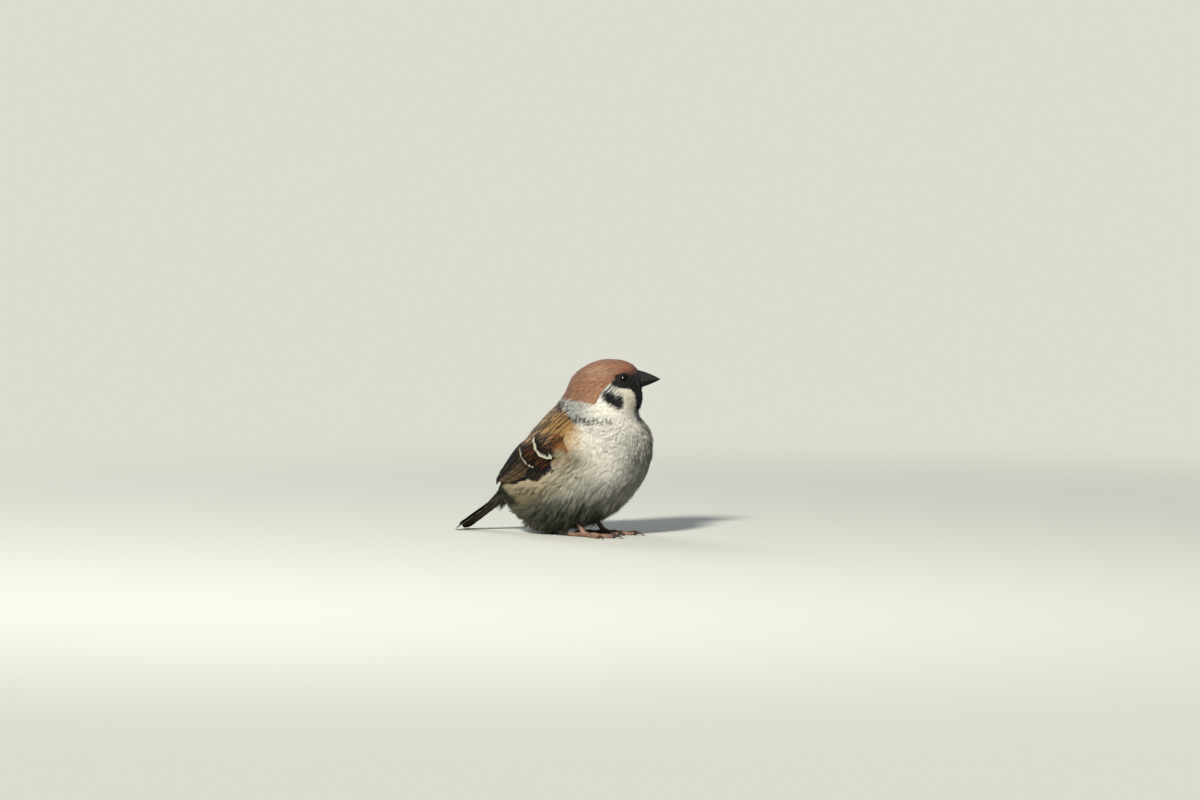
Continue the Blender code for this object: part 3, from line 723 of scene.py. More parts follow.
def eye_frames():
    """For each eye: hand, middle of the ball, and the directions it looks, ahead and up."""
    frames = []
    cheek = (slice(FACE_ROWS), slice(SPOKES // 2 + 1))
    for hand in (1.0, -1.0):
        spots = read(OUTLINE, row_s[cheek], hand * row_a[cheek])
        ahead = np.array([math.cos(HEAD_TURN), math.sin(HEAD_TURN), 0.0])
        out = hand * np.array([-math.sin(HEAD_TURN), math.cos(HEAD_TURN), 0.0])
        rest = turned(np.array([EYE_SPOT[0], 0.0, EYE_SPOT[1]]))
        gap = spots - rest
        miss = (gap @ ahead) ** 2 + gap[..., 2] ** 2 + np.where(gap @ out > 0, 0, 1e6)
        near = np.unravel_index(miss.argmin(), miss.shape)
        look = unit(out + EYE_TILT[0] * ahead + EYE_TILT[1] * UPWARD)
        up = unit(UPWARD - look * look[2])
        opening = rest + out * (gap[near] @ out + 0.02)
        ball = opening - look * EYE_SEAT
        frames.append((hand, ball, look, np.cross(look, up) * hand, up))
    return frames


EYES = eye_frames()


def round_eye(eye, radius, depth, turn):
    """Points round an eye's axis at a radius, at a depth along it, and a turn round it."""
    _, ball, look, ahead, up = eye
    wide = ahead * np.cos(turn)[..., None] + up * np.sin(turn)[..., None]
    return ball + wide * radius[..., None] + look * depth[..., None]


eye_material = bpy.data.materials.new("eye_glass")
eye_material.use_nodes = True
nodes, links = eye_material.node_tree.nodes, eye_material.node_tree.links
shader = nodes["Principled BSDF"]
own = nodes.new("ShaderNodeAttribute")
own.attribute_name = "plumage"
spokes_noise = nodes.new("ShaderNodeTexNoise")
spokes_noise.inputs["Scale"].default_value = 1500.0
space = nodes.new("ShaderNodeTexCoord")
flecked = nodes.new("ShaderNodeMix")
flecked.data_type, flecked.blend_type = "RGBA", "MULTIPLY"
links.new(space.outputs["Object"], spokes_noise.inputs["Vector"])
links.new(own.outputs["Color"], flecked.inputs[6])
links.new(spokes_noise.outputs["Color"], flecked.inputs[7])
links.new(flecked.outputs[2], shader.inputs["Base Color"])
shader.inputs["Roughness"].default_value = 0.08
shader.inputs["IOR"].default_value = 1.38
shader.inputs["Coat Weight"].default_value = 0.5
shader.inputs["Coat IOR"].default_value = 1.35
shader.inputs["Coat Roughness"].default_value = 0.02
shader.inputs["Specular IOR Level"].default_value = 0.3

lid_material = grained_material(
    "lid_skin", "Object", streaks=3000.0, mottle=900.0, contrast=0.3, bump=0.6, rough=0.6
)
lid_material.node_tree.nodes["Principled BSDF"].inputs["Specular IOR Level"].default_value = 0.2

for eye in EYES:
    word = "left" if eye[0] > 0 else "right"
    mirrored = eye[0] < 0
    spokes = np.arange(EYE_SPOKES)
    bow, turn = np.meshgrid(
        np.linspace(0.02, math.pi - 0.02, EYE_ROWS), spokes * math.tau / EYE_SPOKES, indexing="ij"
    )
    bulge = EYE_RADIUS + CORNEA_RISE * np.cos(np.clip(bow / CORNEA_EDGE, 0, 1) * math.pi / 2) ** 2
    ball_points = round_eye(eye, bulge * np.sin(bow), bulge * np.cos(bow), turn).reshape(-1, 3)
    iris = painted(bow, IRIS_BROWN) * (0.8 + 0.3 * np.sin(turn * 23) * np.sin(turn * 9 + 1))[..., None]
    iris = tint(iris, PUPIL_BLACK, 1 - step(bow, PUPIL_EDGE, 0.03))
    iris = tint(iris, BALL_DARK, step(bow, IRIS_EDGE, 0.05))
    ends = np.array([ball_points[:EYE_SPOKES].mean(0), ball_points[-EYE_SPOKES:].mean(0)])
    hub = EYE_ROWS * EYE_SPOKES
    caps = [fan_faces(spokes, hub, mirrored), fan_faces(hub - EYE_SPOKES + spokes, hub + 1, not mirrored)]
    piece = add_mesh(
        "eyeball_" + word,
        np.vstack([ball_points, ends]),
        [grid_faces(EYE_ROWS, EYE_SPOKES, True, mirrored), np.vstack(caps)],
        np.vstack([np.stack([turn / math.tau, bow / math.pi], -1).reshape(-1, 2), [[0.5, 0], [0.5, 1]]]),
        {"plumage": np.vstack([iris.reshape(-1, 3), [PUPIL_BLACK, BALL_DARK]])},
    )
    piece.data.materials.append(eye_material)
    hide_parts("eye_" + word)
    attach(piece, "root")

    # the lids: a rolled rim on the ball, then a wrinkled slope that goes under the feathers
    run, turn = np.meshgrid(
        np.linspace(0, 1, LID_ROWS), np.arange(LID_SPOKES) * math.tau / LID_SPOKES, indexing="ij"
    )
    stretch = 1 + 0.07 * np.cos(turn) ** 2 + 0.05 * np.exp(-((np.mod(turn + 0.3, math.tau) / 0.5) ** 2))
    reach = EYE_OPENING - 0.05 + (LID_WIDTH + LID_HIDDEN) * run - 0.12 * np.exp(-((run / 0.06) ** 2))
    beads = 0.06 * np.abs(np.sin(turn * 24 + 2 * np.sin(turn * 3))) * bell(run, 0.16, 0.10)
    folds = 0.05 * np.sin(run * 34 + 0.8 * np.sin(turn * 5)) * np.clip(run * 5, 0, 1) * (1 - run)
    roll = 0.26 * bell(run, 0.13, 0.11)
    slope = -2.6 * np.clip(run - 0.22, 0, 1)
    lid_points = round_eye(eye, reach * stretch, EYE_SEAT + 0.02 + roll + beads + folds + slope, turn)
    # a grey band on the lid's rolled rim, painted lighter as a highlight
    rim_shade = tint(painted(run, LID_BLACK), LID_RIM_HIGHLIGHT, bell(run, 0.26, 0.05))
    rim_shade = rim_shade * (0.85 + 0.2 * np.sin(turn * 31) * np.sin(turn * 13))[..., None]
    lids = add_mesh(
        "lids_" + word,
        lid_points.reshape(-1, 3),
        [grid_faces(LID_ROWS, LID_SPOKES, True, mirrored)],
        np.stack([turn / math.tau, run], -1).reshape(-1, 2),
        {"plumage": rim_shade.reshape(-1, 3)},
    )
    lids.data.materials.append(lid_material)
    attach(lids, "root")

# --- Bill ---------------------------------------------------------------------------------------
# A short deep cone of black-grey horn in two halves. The ridge of the upper half is bluntly keeled,
# the cutting edges meet in a nearly straight line, and small round nostrils open near the feathers.

BILL_TIP = (34.05, 70.2)
BILL_BASE_X = 20.6
CULMEN_BASE, GAPE_RISE, GONYS_BASE = 74.6, 69.4, 65.7
BILL_HALF_WIDTH = 3.9
BILL_ROWS, BILL_COLUMNS = 72, 49
NOSTRIL = (23.6, 2.45, 0.42)  # ahead, aside, radius
HORN = (0.019, 0.022, 0.021)
HORN_EDGE = (0.100, 0.100, 0.085)
GAPE_HORN = (0.050, 0.048, 0.028)
NOSTRIL_DARK = (0.004, 0.004, 0.004)


def bill_half(name, half):
    """The upper half of the bill, half = 1, or the lower one, half = -1."""
    rows, columns = BILL_ROWS, BILL_COLUMNS
    t, turn = np.meshgrid(np.linspace(0, 1, rows) ** 0.9, np.linspace(0, math.pi, columns), indexing="ij")
    x = BILL_BASE_X + (BILL_TIP[0] - BILL_BASE_X) * t
    seam = GAPE_RISE + (BILL_TIP[1] - GAPE_RISE) * t
    width = BILL_HALF_WIDTH * ((1 - t**0.95) * 0.94 + 0.06) * (1 if half > 0 else 0.93)
    slim = (1 - t**1.6) * 0.96 + 0.04
    reach = (CULMEN_BASE - GAPE_RISE if half > 0 else GAPE_RISE - GONYS_BASE) * slim
    bow = np.maximum(np.sin(turn), 0) ** 0.9
    keel = np.exp(-(((turn - math.pi / 2) / 0.30) ** 2)) * 0.16 * slim
    lips = np.exp(-((bow / 0.16) ** 2)) * 0.10 * slim
    rings = 0.035 * np.sin(t * 46 + 1.5 * np.cos(turn)) * (1 - t) * np.sin(turn)
    z = seam + half * (0.03 + reach * bow + keel + rings)
    y = -(width + lips) * np.cos(turn)
    if half > 0:  # nostrils
        pit = np.hypot(x - NOSTRIL[0], np.abs(y) - NOSTRIL[1]) / NOSTRIL[2]
        hollow = np.exp(-(pit**2)) * (bow > 0.5)
        y = y - np.sign(y) * 0.45 * hollow
        z = z - 0.25 * hollow
    else:
        hollow = 0 * t
    points = turned(np.stack([x, y, z], -1)).reshape(-1, 3)
    shade = painted(t, HORN)
    # the lower half is painted darker, as shade under the lit upper half
    if half < 0:
        shade = tint(shade * 0.35, GAPE_HORN, (1 - step(t, 0.34, 0.2)) * 0.5)
    shade = tint(shade, HORN_EDGE, bell(bow, 0, 0.10) * (1 - step(t, 0.55, 0.4)) * 0.7)
    shade = tint(shade, NOSTRIL_DARK, np.clip(hollow * 1.3, 0, 1))
    shade = shade * (1 + 0.12 * np.sin(t * 46 + 1.5 * np.cos(turn)))[..., None]
    # a flat palate closes each half along the cutting edges
    left, right = np.arange(rows) * columns, np.arange(rows) * columns + columns - 1
    floor_quads = np.stack([left[:-1], left[1:], right[1:], right[:-1]], 1)
    tip_fan = np.arange((rows - 1) * columns, rows * columns)[None]
    if half > 0:
        floor_quads, tip_fan = floor_quads[:, ::-1], tip_fan[:, ::-1]
    faces = [grid_faces(rows, columns, False, half > 0), floor_quads, tip_fan]
    uv = np.stack([0.02 + 0.96 * turn / math.pi, 0.02 + 0.96 * t], -1).reshape(-1, 2)
    piece = add_mesh(name, points, faces, uv, {"plumage": shade.reshape(-1, 3)})
    piece.data.materials.append(horn_material)
    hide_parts(name.replace("horn", "bill"))
    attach(piece, "root")


horn_material = grained_material(
    "bill_keratin", "Object", streaks=1400.0, mottle=260.0, contrast=0.22, bump=0.25, rough=0.40
)
horn_material.node_tree.nodes["Principled BSDF"].inputs["Specular IOR Level"].default_value = 0.32
bill_half("horn_upper", 1)
bill_half("horn_lower", -1)

# --- Small feathers -----------------------------------------------------------------------------
# The contour feathers of head, neck and body: soft vanes of separate barbs, rooted in rows in the
# skin and laid back towards the tail, each over the root of the next. They are minute on the face.

rng = np.random.default_rng(11)
EYE_CLEAR = EYE_OPENING + 0.8 * LID_WIDTH  # small feathers part round the eye at this radius


def from_eye(points, eye):
    """How far out along an eye's axis points lie, and their offsets and distances from that axis."""
    _, ball, look, _, _ = eye
    away = points - ball
    deep = away @ look
    flat = away - deep[..., None] * look
    return deep, flat, np.linalg.norm(flat, axis=-1)


def part_round_eyes(points):
    """Moves what would cover an eye to the edge of its lids."""
    for eye in EYES:
        deep, flat, far = from_eye(points, eye)
        push = np.where((far < EYE_CLEAR) & (deep > 0), (EYE_CLEAR - far) / (far + 1e-6), 0.0)
        points = points + flat * push[..., None]
    return points


def clear_of_eyes(points, margin):
    """Which points lie outside both eyes' lids by a margin."""
    clear = np.ones(len(points), bool)
    for eye in EYES:
        deep, _, far = from_eye(points, eye)
        clear &= ~((far < EYE_CLEAR + margin) & (deep > 0))
    return clear


RING_SPANS = 180  # straight spans that a row's length round the body is measured with


def scatter(first, last, gap_along, gap_around, keep):
    """Roots in staggered rows from one station to another. The gaps in millimetres are curves over
    the stations, and keep says which places hold feathers."""
    stations, angles = [], []
    station, odd = first, False
    ring = np.linspace(0, math.tau, RING_SPANS + 1)
    while station < last:
        here = np.full(RING_SPANS + 1, station)
        around = np.linalg.norm(read(AROUND, here, ring), axis=-1)
        along = np.linalg.norm(read(ALONG, here, ring), axis=-1)
        spans = (around[1:] + around[:-1]) / 2 * math.tau / RING_SPANS
        length = np.concatenate([[0], np.cumsum(spans)])
        wide, tall = curve(station, *gap_around), curve(station, *gap_along)
        count = max(8, round(length[-1] / wide))
        spread = (np.arange(count) + (0.5 if odd else 0)) / count * length[-1]
        angle = np.interp(spread, length, ring)
        angles.append(angle + rng.normal(0, 0.25, count) * wide / np.interp(angle, ring, around))
        stations.append(station + rng.normal(0, 0.30, count) * tall / np.interp(angle, ring, along))
        station += tall / np.percentile(along, 60)
        odd = not odd
    station, angle = np.clip(np.concatenate(stations), 0.02, LAST - 0.2), np.concatenate(angles)
    roots = on_body(station, angle, np.zeros(len(station)))
    chosen = keep(station, degrees_off(angle)) & clear_of_eyes(roots, 0.05)
    return station[chosen], angle[chosen]


def slide(station, angle, e1, e2, move):
    """New stations and angles after moves in millimetres over the body's surface."""
    m11, m12, m22 = (e1 * e1).sum(-1), (e1 * e2).sum(-1), (e2 * e2).sum(-1)
    det = m11 * m22 - m12 * m12
    d1, d2 = (move * e1).sum(-1), (move * e2).sum(-1)
    return station + (m22 * d1 - m12 * d2) / det, angle + (m11 * d2 - m12 * d1) / det


BARB_PAIRS = (0.0, 0.36, 0.70)  # shares of a barb's length with a pair of points; its tip is one point
BARB_POINTS, BARB_TRIANGLES = 2 * len(BARB_PAIRS) + 1, 2 * len(BARB_PAIRS) - 1
PIECE_TRIANGLES = 195000
TUFT_PATCH = 0.003  # width on the map OFBake of one feather's patch, at its root's place
FLOOR_CLEAR = 0.3


def barb_outlines(length, width, barbs, loose):
    """Every point of every feather laid flat: along and aside of its root, and its stray height.
    Each barb leaves the shaft, bends towards the tip and narrows to a point."""
    count, nb, sides = len(length), 2 * barbs, np.repeat([1.0, -1.0], barbs)
    number = np.tile((np.arange(barbs) + 0.5) / barbs, 2)
    opening = np.radians(46 - 34 * number)[None] * (1 - 0.5 * loose)
    opening = opening * (1 + rng.normal(0, 0.06 + 0.16 * loose, (count, nb)))
    reach = 0.5 * np.sin(np.pi * (0.16 + 0.80 * number)) ** 0.6
    reach = reach[None] * width * (1 + rng.normal(0, 0.07 + 0.20 * loose, (count, nb)))
    base = (0.06 + 0.76 * number)[None] * length
    broad = length * 0.80 / barbs * (0.55 - 0.15 * loose) * np.ones((1, nb))
    stray = rng.normal(0, 0.03 + 0.10 * loose, (count, nb)) * width
    run = reach / np.tan(np.clip(opening * 0.65, 0.12, 1.4))
    limit = length * (1.0 + rng.normal(0, 0.03 + 0.09 * loose, (count, nb))) - base
    wave = rng.uniform(0, math.tau, (count, 1)) + rng.normal(0, 0.5, (count, nb))
    part_way = np.clip(limit / run, 0.12, 1.0)
    along, aside, heights = [], [], []
    for share in [*BARB_PAIRS, 1.0]:
        swing = opening * (1.25 - 0.6 * share)
        y = reach * share * part_way
        x = base + y / np.tan(np.clip(swing, 0.12, 1.4))
        thin = broad * (1.0 - 0.5 * share) / 2
        px, py = sides * np.sin(swing) * thin, np.cos(swing) * thin
        y = sides * y * (1 - 0.55 * loose * np.clip(x / length, 0, 1.1) ** 2)
        y = y + 0.035 * length * loose * np.sin(wave + 4.0 * share) * share
        along.append(x[..., None] if share == 1.0 else np.stack([x - px, x + px], -1))
        aside.append(y[..., None] if share == 1.0 else np.stack([y + py, y - py], -1))
        heights.append(np.repeat((stray * share**2)[..., None], along[-1].shape[-1], -1))
    return (np.concatenate(v, -1).reshape(count, -1) for v in (along, aside, heights))


def add_feathers(name, points, shade, uv, nb, material):
    """Feathers of nb barbs each, in as many pieces as keep each one under PIECE_TRIANGLES."""
    count, pairs = len(points), len(BARB_PAIRS)
    start = np.arange(count * nb) * BARB_POINTS
    quad = np.array([0, 1, 3, 2])
    faces = [start[:, None] + 2 * k + quad for k in range(pairs - 1)]
    faces.append(start[:, None] + 2 * pairs - 2 + np.arange(3))
    pieces = -(-count // int(PIECE_TRIANGLES / (nb * BARB_TRIANGLES)))
    each = -(-count // pieces)
    for part in range(pieces):
        first, last = part * each, min(count, (part + 1) * each)
        piece = add_mesh(
            name if pieces == 1 else f"{name}_{part + 1}",
            points[first:last].reshape(-1, 3),
            [f[first * nb : last * nb] - first * nb * BARB_POINTS for f in faces],
            uv[first:last].reshape(-1, 2),
            {"plumage": shade[first:last].reshape(-1, 3)},
        )
        piece.data.materials.append(material)
        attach(piece, "root")
    print(name, count, "feathers", count * nb * BARB_TRIANGLES, "triangles")


def lay_feathers(
    name,
    station,
    angle,
    length,
    width,
    barbs,
    loose,
    rise,
    turn,
    pattern,
    material,
    cup=0.10,
    lift=0.0,
    striped=1.0,
    bow=1.35,
):
    """Pieces of many soft feathers. length, width and rise, the height of the tip over the outline,
    are millimetres for each feather; loose frays it into long fine strands, turn swings it from the
    lie, lift raises all of it and a higher bow lays more of it flat on the outline."""
    count, nb = len(station), 2 * barbs
    deep, loose = coat_depth(station, angle)[:, None], loose[:, None]
    e1, e2, normal = directions(station, angle)
    lie = unit(e1)
    across = np.cross(normal, lie)
    c, w = np.cos(turn)[:, None], np.sin(turn)[:, None]
    lie, across = lie * c + across * w, across * c - lie * w
    x, y, stray = barb_outlines(length[:, None], width[:, None], barbs, loose)
    x = np.clip(x, 0, length[:, None] * 1.2)
    t, q = x / length[:, None], 2 * y / width[:, None]
    height = lift - deep * np.clip(1 - t, 0, 1) ** bow + rise[:, None] * t**1.4
    height = height - cup * width[:, None] * q**2 * (0.4 + 0.6 * t) + stray
    move = lie[:, None] * x[..., None] + across[:, None] * y[..., None]
    at_s, at_a = slide(station[:, None], angle[:, None], e1[:, None], e2[:, None], move)
    points = part_round_eyes(on_body(at_s, at_a, height))
    points[..., 2] = np.maximum(points[..., 2], FLOOR_CLEAR)
    # each barb takes the marking under its own outer part
    at_s, at_a = (v.reshape(count, nb, BARB_POINTS)[:, :, -3] for v in (at_s, at_a))
    shade = markings(at_s, at_a, striped)
    uneven = 0.035 + 0.075 * loose[..., None]
    by_barb, by_feather = rng.normal(0, 1, (count, nb, 1)), rng.normal(0, 1, (count, 1, 1))
    shade = shade * (1 + by_barb * uneven + by_feather * uneven)
    shade = np.repeat(shade[:, :, None], BARB_POINTS, 2).reshape(count, -1, 3)
    shade = np.clip(pattern(shade, t, q, station, angle), 0.0, 1.0)
    root_uv = np.stack([np.mod(angle, math.tau) / math.tau, station / LAST], -1)
    uv = root_uv[:, None] + TUFT_PATCH * np.stack([q * 0.5, t - 0.5], -1)
    add_feathers(name, points, shade, uv, nb, material)


def head_tips(shade, t, q, station, angle):
    """Grey at the root, coloured towards the tip."""
    dark = 0.25 + 0.2 * step(station, 4.8, 0.8)[:, None]
    return shade * (1 - dark * np.clip(1 - t / 0.5, 0, 1))[..., None]


face_material = grained_material(
    "face_feathers", "Object", streaks=5200.0, mottle=700.0, contrast=0.16, bump=0.4
)
feathery(face_material, sheen=0.25, specular=0.25)
body_material = grained_material(
    "soft_feathers", "Object", streaks=3800.0, mottle=260.0, contrast=0.13, bump=0.4
)
feathery(body_material, sheen=0.12, specular=0.15)

# head and collar, from the root of the bill back
HEAD_AT, HEAD_ALONG, HEAD_AROUND = [0, 1, 3, 7], [0.38, 0.50, 0.72, 1.0], [0.42, 0.52, 0.72, 1.0]
s, a = scatter(0.05, 7.0, (HEAD_AT, HEAD_ALONG), (HEAD_AT, HEAD_AROUND), lambda station, off: station > 0)
size = curve(s, HEAD_AT, [1.3, 2.0, 3.4, 5.2]) * rng.normal(1, 0.08, len(s))
collar = step(s, 5.3, 0.8)
chin = 0.45 * step(degrees_off(a), 156, 10) * step(s, 1.2, 0.8)
lay_feathers(
    "head_feathers",
    s,
    a,
    length=size * (1 + 0.15 * collar),
    width=size * 0.44,
    barbs=6,
    loose=0.25 + 0.4 * collar + chin,
    rise=rng.normal(0.04, 0.04, len(s)) + (0.25 * collar + chin) * rng.uniform(0, 1.6, len(s)),
    turn=rng.normal(0, 0.10, len(s)),
    pattern=head_tips,
    material=face_material,
    cup=0.06,
)


WING_FROM, WING_TO = 7.4, 15.6  # stations
WING_LOW_AT = [7.4, 7.8, 8.3, 8.9, 9.4, 9.9, 10.4, 11, 11.6, 12.6, 13.6, 15.8]
WING_LOW = [74, 86, 92, 95, 96, 93, 88, 79, 71, 60, 51, 44]
WING_HIGH_AT = [7.4, 7.8, 8.3, 9, 10.2, 11.4, 12.6, 13.6, 15.8]
WING_HIGH = [74, 62, 50, 40, 31, 25, 21, 23, 34]


def wing_lower(station):
    """Degrees off the back of the folded wing's lower edge."""
    return curve(station, WING_LOW_AT, WING_LOW)


def wing_cover(station, off):
    """Degrees inside the folded wing's outline; below 0 outside it."""
    inside = np.minimum(off - curve(station, WING_HIGH_AT, WING_HIGH), wing_lower(station) - off)
    return np.where((station > WING_FROM) & (station < WING_TO), inside, -10.0)


def bare_of_wing(station, off):
    """Where the body feathers grow: outside the wing and the mantle."""
    off_mantle = (off > 58) | (station > 11.0) | (station < 6.9)
    return (wing_cover(station, off) < 3) & (station < 15.9) & off_mantle


def body_tips(shade, t, q, station, angle):
    """Roots of dark grey down under pale ends, most of it on the belly, where their dark is partly painted
    shade.
    """
    # on the belly the dark roots are partly grey down and partly painted shade between the loose feathers
    dark = 0.17 + 0.63 * step(station, 9.3, 1.5) * step(degrees_off(angle), 108, 20)
    return shade * (1 - dark[:, None] * np.clip(1 - t / 0.62, 0, 1) ** 0.7)[..., None]


# breast, belly, flanks and rump
BODY_AT, BODY_ALONG, BODY_AROUND = [7, 9, 13, 16], [1.2, 1.4, 1.45, 1.4], [1.2, 1.4, 1.45, 1.3]
s, a = scatter(6.6, 16.0, (BODY_AT, BODY_ALONG), (BODY_AT, BODY_AROUND), bare_of_wing)
off = degrees_off(a)
low = step(s, 9.4, 1.6) * step(off, 104, 20)
cover = wing_cover(s, off)
under_wing = bell(off, wing_lower(s) + 4, 7.0) * step(s, 8.4, 0.3) * (1 - step(s, 12.7, 0.4))
normal, lie = read(OUTWARD, s, a), unit(read(ALONG, s, a))
across = np.cross(normal, lie)
down = normal * normal[:, 2:] - UPWARD
hang = np.arctan2((down * across).sum(1), (down * lie).sum(1))  # the turn that points a feather down
hang = np.clip(hang, -1.2, 1.2) * np.clip(np.linalg.norm(down, axis=1) / 0.6, 0, 1) * low * 0.62
size = curve(s, [7, 9, 13, 14.5, 15, 16], [6.0, 8.0, 9.5, 8.5, 7.5, 4.8])
size = size * rng.normal(1, 0.10, len(s)) * (1 + 0.30 * low)
swing = hang + np.sign(np.sin(a)) * 0.22 * under_wing
tufted = rng.uniform(0, 1, len(s)) ** 5
drooping = 2.4 * np.clip(-normal[:, 2] - 0.1, 0, 1) * rng.uniform(0, 1, len(s)) ** 2
lay_feathers(
    "body_feathers",
    s,
    a,
    length=size,
    width=size * 0.40,
    barbs=13,
    loose=0.30 + 0.15 * step(s, 9.0, 1.0) + 0.5 * low,
    rise=rng.normal(0.05, 0.05, len(s)) + low * (0.2 + 2.6 * tufted + drooping) + 2.1 * under_wing,
    turn=swing + rng.normal(0, 0.07, len(s)) + 0.05 * np.sin(s * 3.1 + a * 7.0),
    pattern=body_tips,
    material=body_material,
    cup=0.06,
    bow=2.3 - 0.95 * low[:, None],
)


FRINGE, SCAPULAR_BLACK = (0.300, 0.200, 0.100), (0.010, 0.008, 0.006)


def mantle_tips(shade, t, q, station, angle):
    """A black stripe down the inner web and a pale fringe; the scapulars over the wing are mostly black."""
    inner, off = q * np.sign(np.sin(angle))[:, None], degrees_off(angle)[:, None]
    place = station[:, None] + 1.05 * t
    outer = step(off, 54, 12) * step(place, 8.3, 0.7)
    bold = (np.sin(station * 2.3 + np.round(np.degrees(angle) / FILE_GAP) * 2.1) > -0.85)[:, None]
    bold = bold * (1 - step(off, 55, 5) * (1 - step(place, 8.2, 0.35)))
    stripe = step(inner, -0.45 - 0.1 * outer, 0.12) * (1 - step(inner, 0.46 + 0.12 * outer, 0.12))
    stripe = stripe * step(t, 0.12, 0.1)
    shade = tint(shade, np.minimum(shade * 1.3, 0.6), step(np.abs(q), 0.75, 0.15) * 0.7)
    shade = tint(shade, FRINGE, outer * 0.7)
    black = np.maximum(stripe * bold, step(off, 53, 4) * step(place, 8.95, 0.15))
    black = np.maximum(black, step(off, 69, 2) * step(place, 7.75, 0.3) * step(-inner, -0.1, 0.15))
    return tint(shade, SCAPULAR_BLACK, black * 0.97)


# mantle and scapulars: firmer feathers in files from the collar back, the last ones over the wing
FILES, MANTLE_FROM, MANTLE_TO, MANTLE_ROW = 13, 6.62, 11.7, 0.27
files = FILE_FIRST + FILE_GAP * np.arange(FILES)
stations = np.arange(MANTLE_FROM, MANTLE_TO, MANTLE_ROW)
s = np.concatenate([stations + MANTLE_ROW / 2 * (k % 2) for k in range(2 * FILES)])
off = np.repeat(np.concatenate([files, -files]), len(stations)) + rng.normal(0, 0.5, len(s))
s = s + rng.normal(0, 0.03, len(s))
cover = wing_cover(s, np.abs(off))
kept = ((np.abs(off) < 50) & (cover < 5 - 13 * step(s, 9.4, 0.2))) | ((np.abs(off) >= 50) & (s < 8.2))
s, off, cover = s[kept], off[kept], cover[kept]
over_wing = step(cover, -9, 8) * step(s, 7.5, 0.6) * (1 - step(s, 10.3, 0.5))
size = curve(s, [6.6, 8, 11.5], [5.4, 8.4, 9.2]) * rng.normal(1, 0.06, len(s))
lay_feathers(
    "mantle_feathers",
    s,
    np.radians(off),
    length=size,
    width=size * 0.38,
    barbs=17,
    loose=np.full(len(s), 0.05),
    rise=0.15 + rng.normal(0, 0.06, len(s)) + 2.0 * over_wing,
    turn=rng.normal(0, 0.05, len(s)),
    pattern=mantle_tips,
    material=body_material,
    cup=0.07,
    striped=0.0,
)

# --- Bristles -----------------------------------------------------------------------------------
# Stiff little hair-like feathers round the root of the bill. They grow from the skin's front edge
# and lie forward over the horn, half hiding the nostrils and the corners of the mouth.

BRISTLES = 1100
BRISTLE_WIDTHS = ((0.0, 0.10), (0.4, 0.085), (0.75, 0.055))  # share of the length, half width
BRISTLE_PALE = (0.140, 0.130, 0.105)
BRISTLE_PATCH = np.array([[-1, -1], [1, -1], [-1, 0], [1, 0], [-1, 1], [1, 1], [0, 1.2]]) * TUFT_PATCH / 2
BILL_AXIS = (24.6, 0.0, 70.0)

s = rng.uniform(0.02, 0.95, BRISTLES)
a = rng.uniform(0, math.tau, BRISTLES)
root = on_body(s, a, curve(s, [0, 0.25, 1], [-0.2, 0.0, 0.05]))
forward = np.array([math.cos(HEAD_TURN), math.sin(HEAD_TURN), -0.06])
inward = turned(np.array(BILL_AXIS)) - root
inward = unit(inward - (inward @ forward)[:, None] * forward)
heading = forward + inward * rng.uniform(0.05, 0.38, (BRISTLES, 1))
heading = unit(heading + rng.normal(0, 0.14, (BRISTLES, 3)))
behind = np.clip(s / 0.5, 0, 1)[:, None]  # those further back lie close along the face
heading = heading * (1 - behind) + (read(OUTWARD, s, a) * 0.12 - unit(read(ALONG, s, a))) * behind
heading = unit(heading + rng.normal(0, 0.08, (BRISTLES, 3)))
aside = unit(np.cross(heading, inward))
reach = (rng.uniform(0.9, 1.6, BRISTLES) * (1 - 0.2 * np.cos(a)))[:, None]
rows = []
for share, wide in BRISTLE_WIDTHS:
    mid = root + heading * reach * share - inward * 0.22 * np.sin(math.pi * share)
    rows += [mid + aside * wide, mid - aside * wide]
rows.append(root + heading * reach)
start = np.arange(BRISTLES)[:, None] * len(rows)
shade = markings(s, a) * rng.uniform(0.6, 1.1, (BRISTLES, 1))
pale = (rng.uniform(0, 1, BRISTLES) < 0.08) & (np.abs(degrees_off(a) - 88) < 22)
shade[pale] = BRISTLE_PALE
root_uv = np.stack([np.mod(a, math.tau) / math.tau, s / LAST], -1)
bristles = add_mesh(
    "bristles",
    np.stack(rows, 1).reshape(-1, 3),
    [start + np.array([0, 1, 3, 2]), start + np.array([2, 3, 5, 4]), start + np.array([4, 5, 6])],
    (root_uv[:, None] + BRISTLE_PATCH).reshape(-1, 2),
    {"plumage": np.repeat(shade, len(rows), 0)},
)
bristles.data.materials.append(face_material)
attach(bristles, "root")

# --- Wings --------------------------------------------------------------------------------------
# Each folded wing is a stack of stiff vanes, every one lying over the next one out: long dark flight
# feathers with thin buff fringes, and over their roots rows of coverts, two of them with white tips.

SIDES = ((1.0, "left"), (-1.0, "right"))
VANE_ROWS = 46  # rows of points along a vane
VANE_COLUMNS = np.array([-1.0, -0.86, -0.66, -0.42, -0.2, -0.06, 0.06, 0.2, 0.42, 0.66, 0.86, 1.0])
VANE_SHARES = 1 - (1 - np.linspace(0, 1, VANE_ROWS)) ** 1.25  # closer together towards the tip
QUILL_BLACK = (0.0055, 0.0045, 0.0038)
BAR_WHITE = (0.400, 0.385, 0.295)


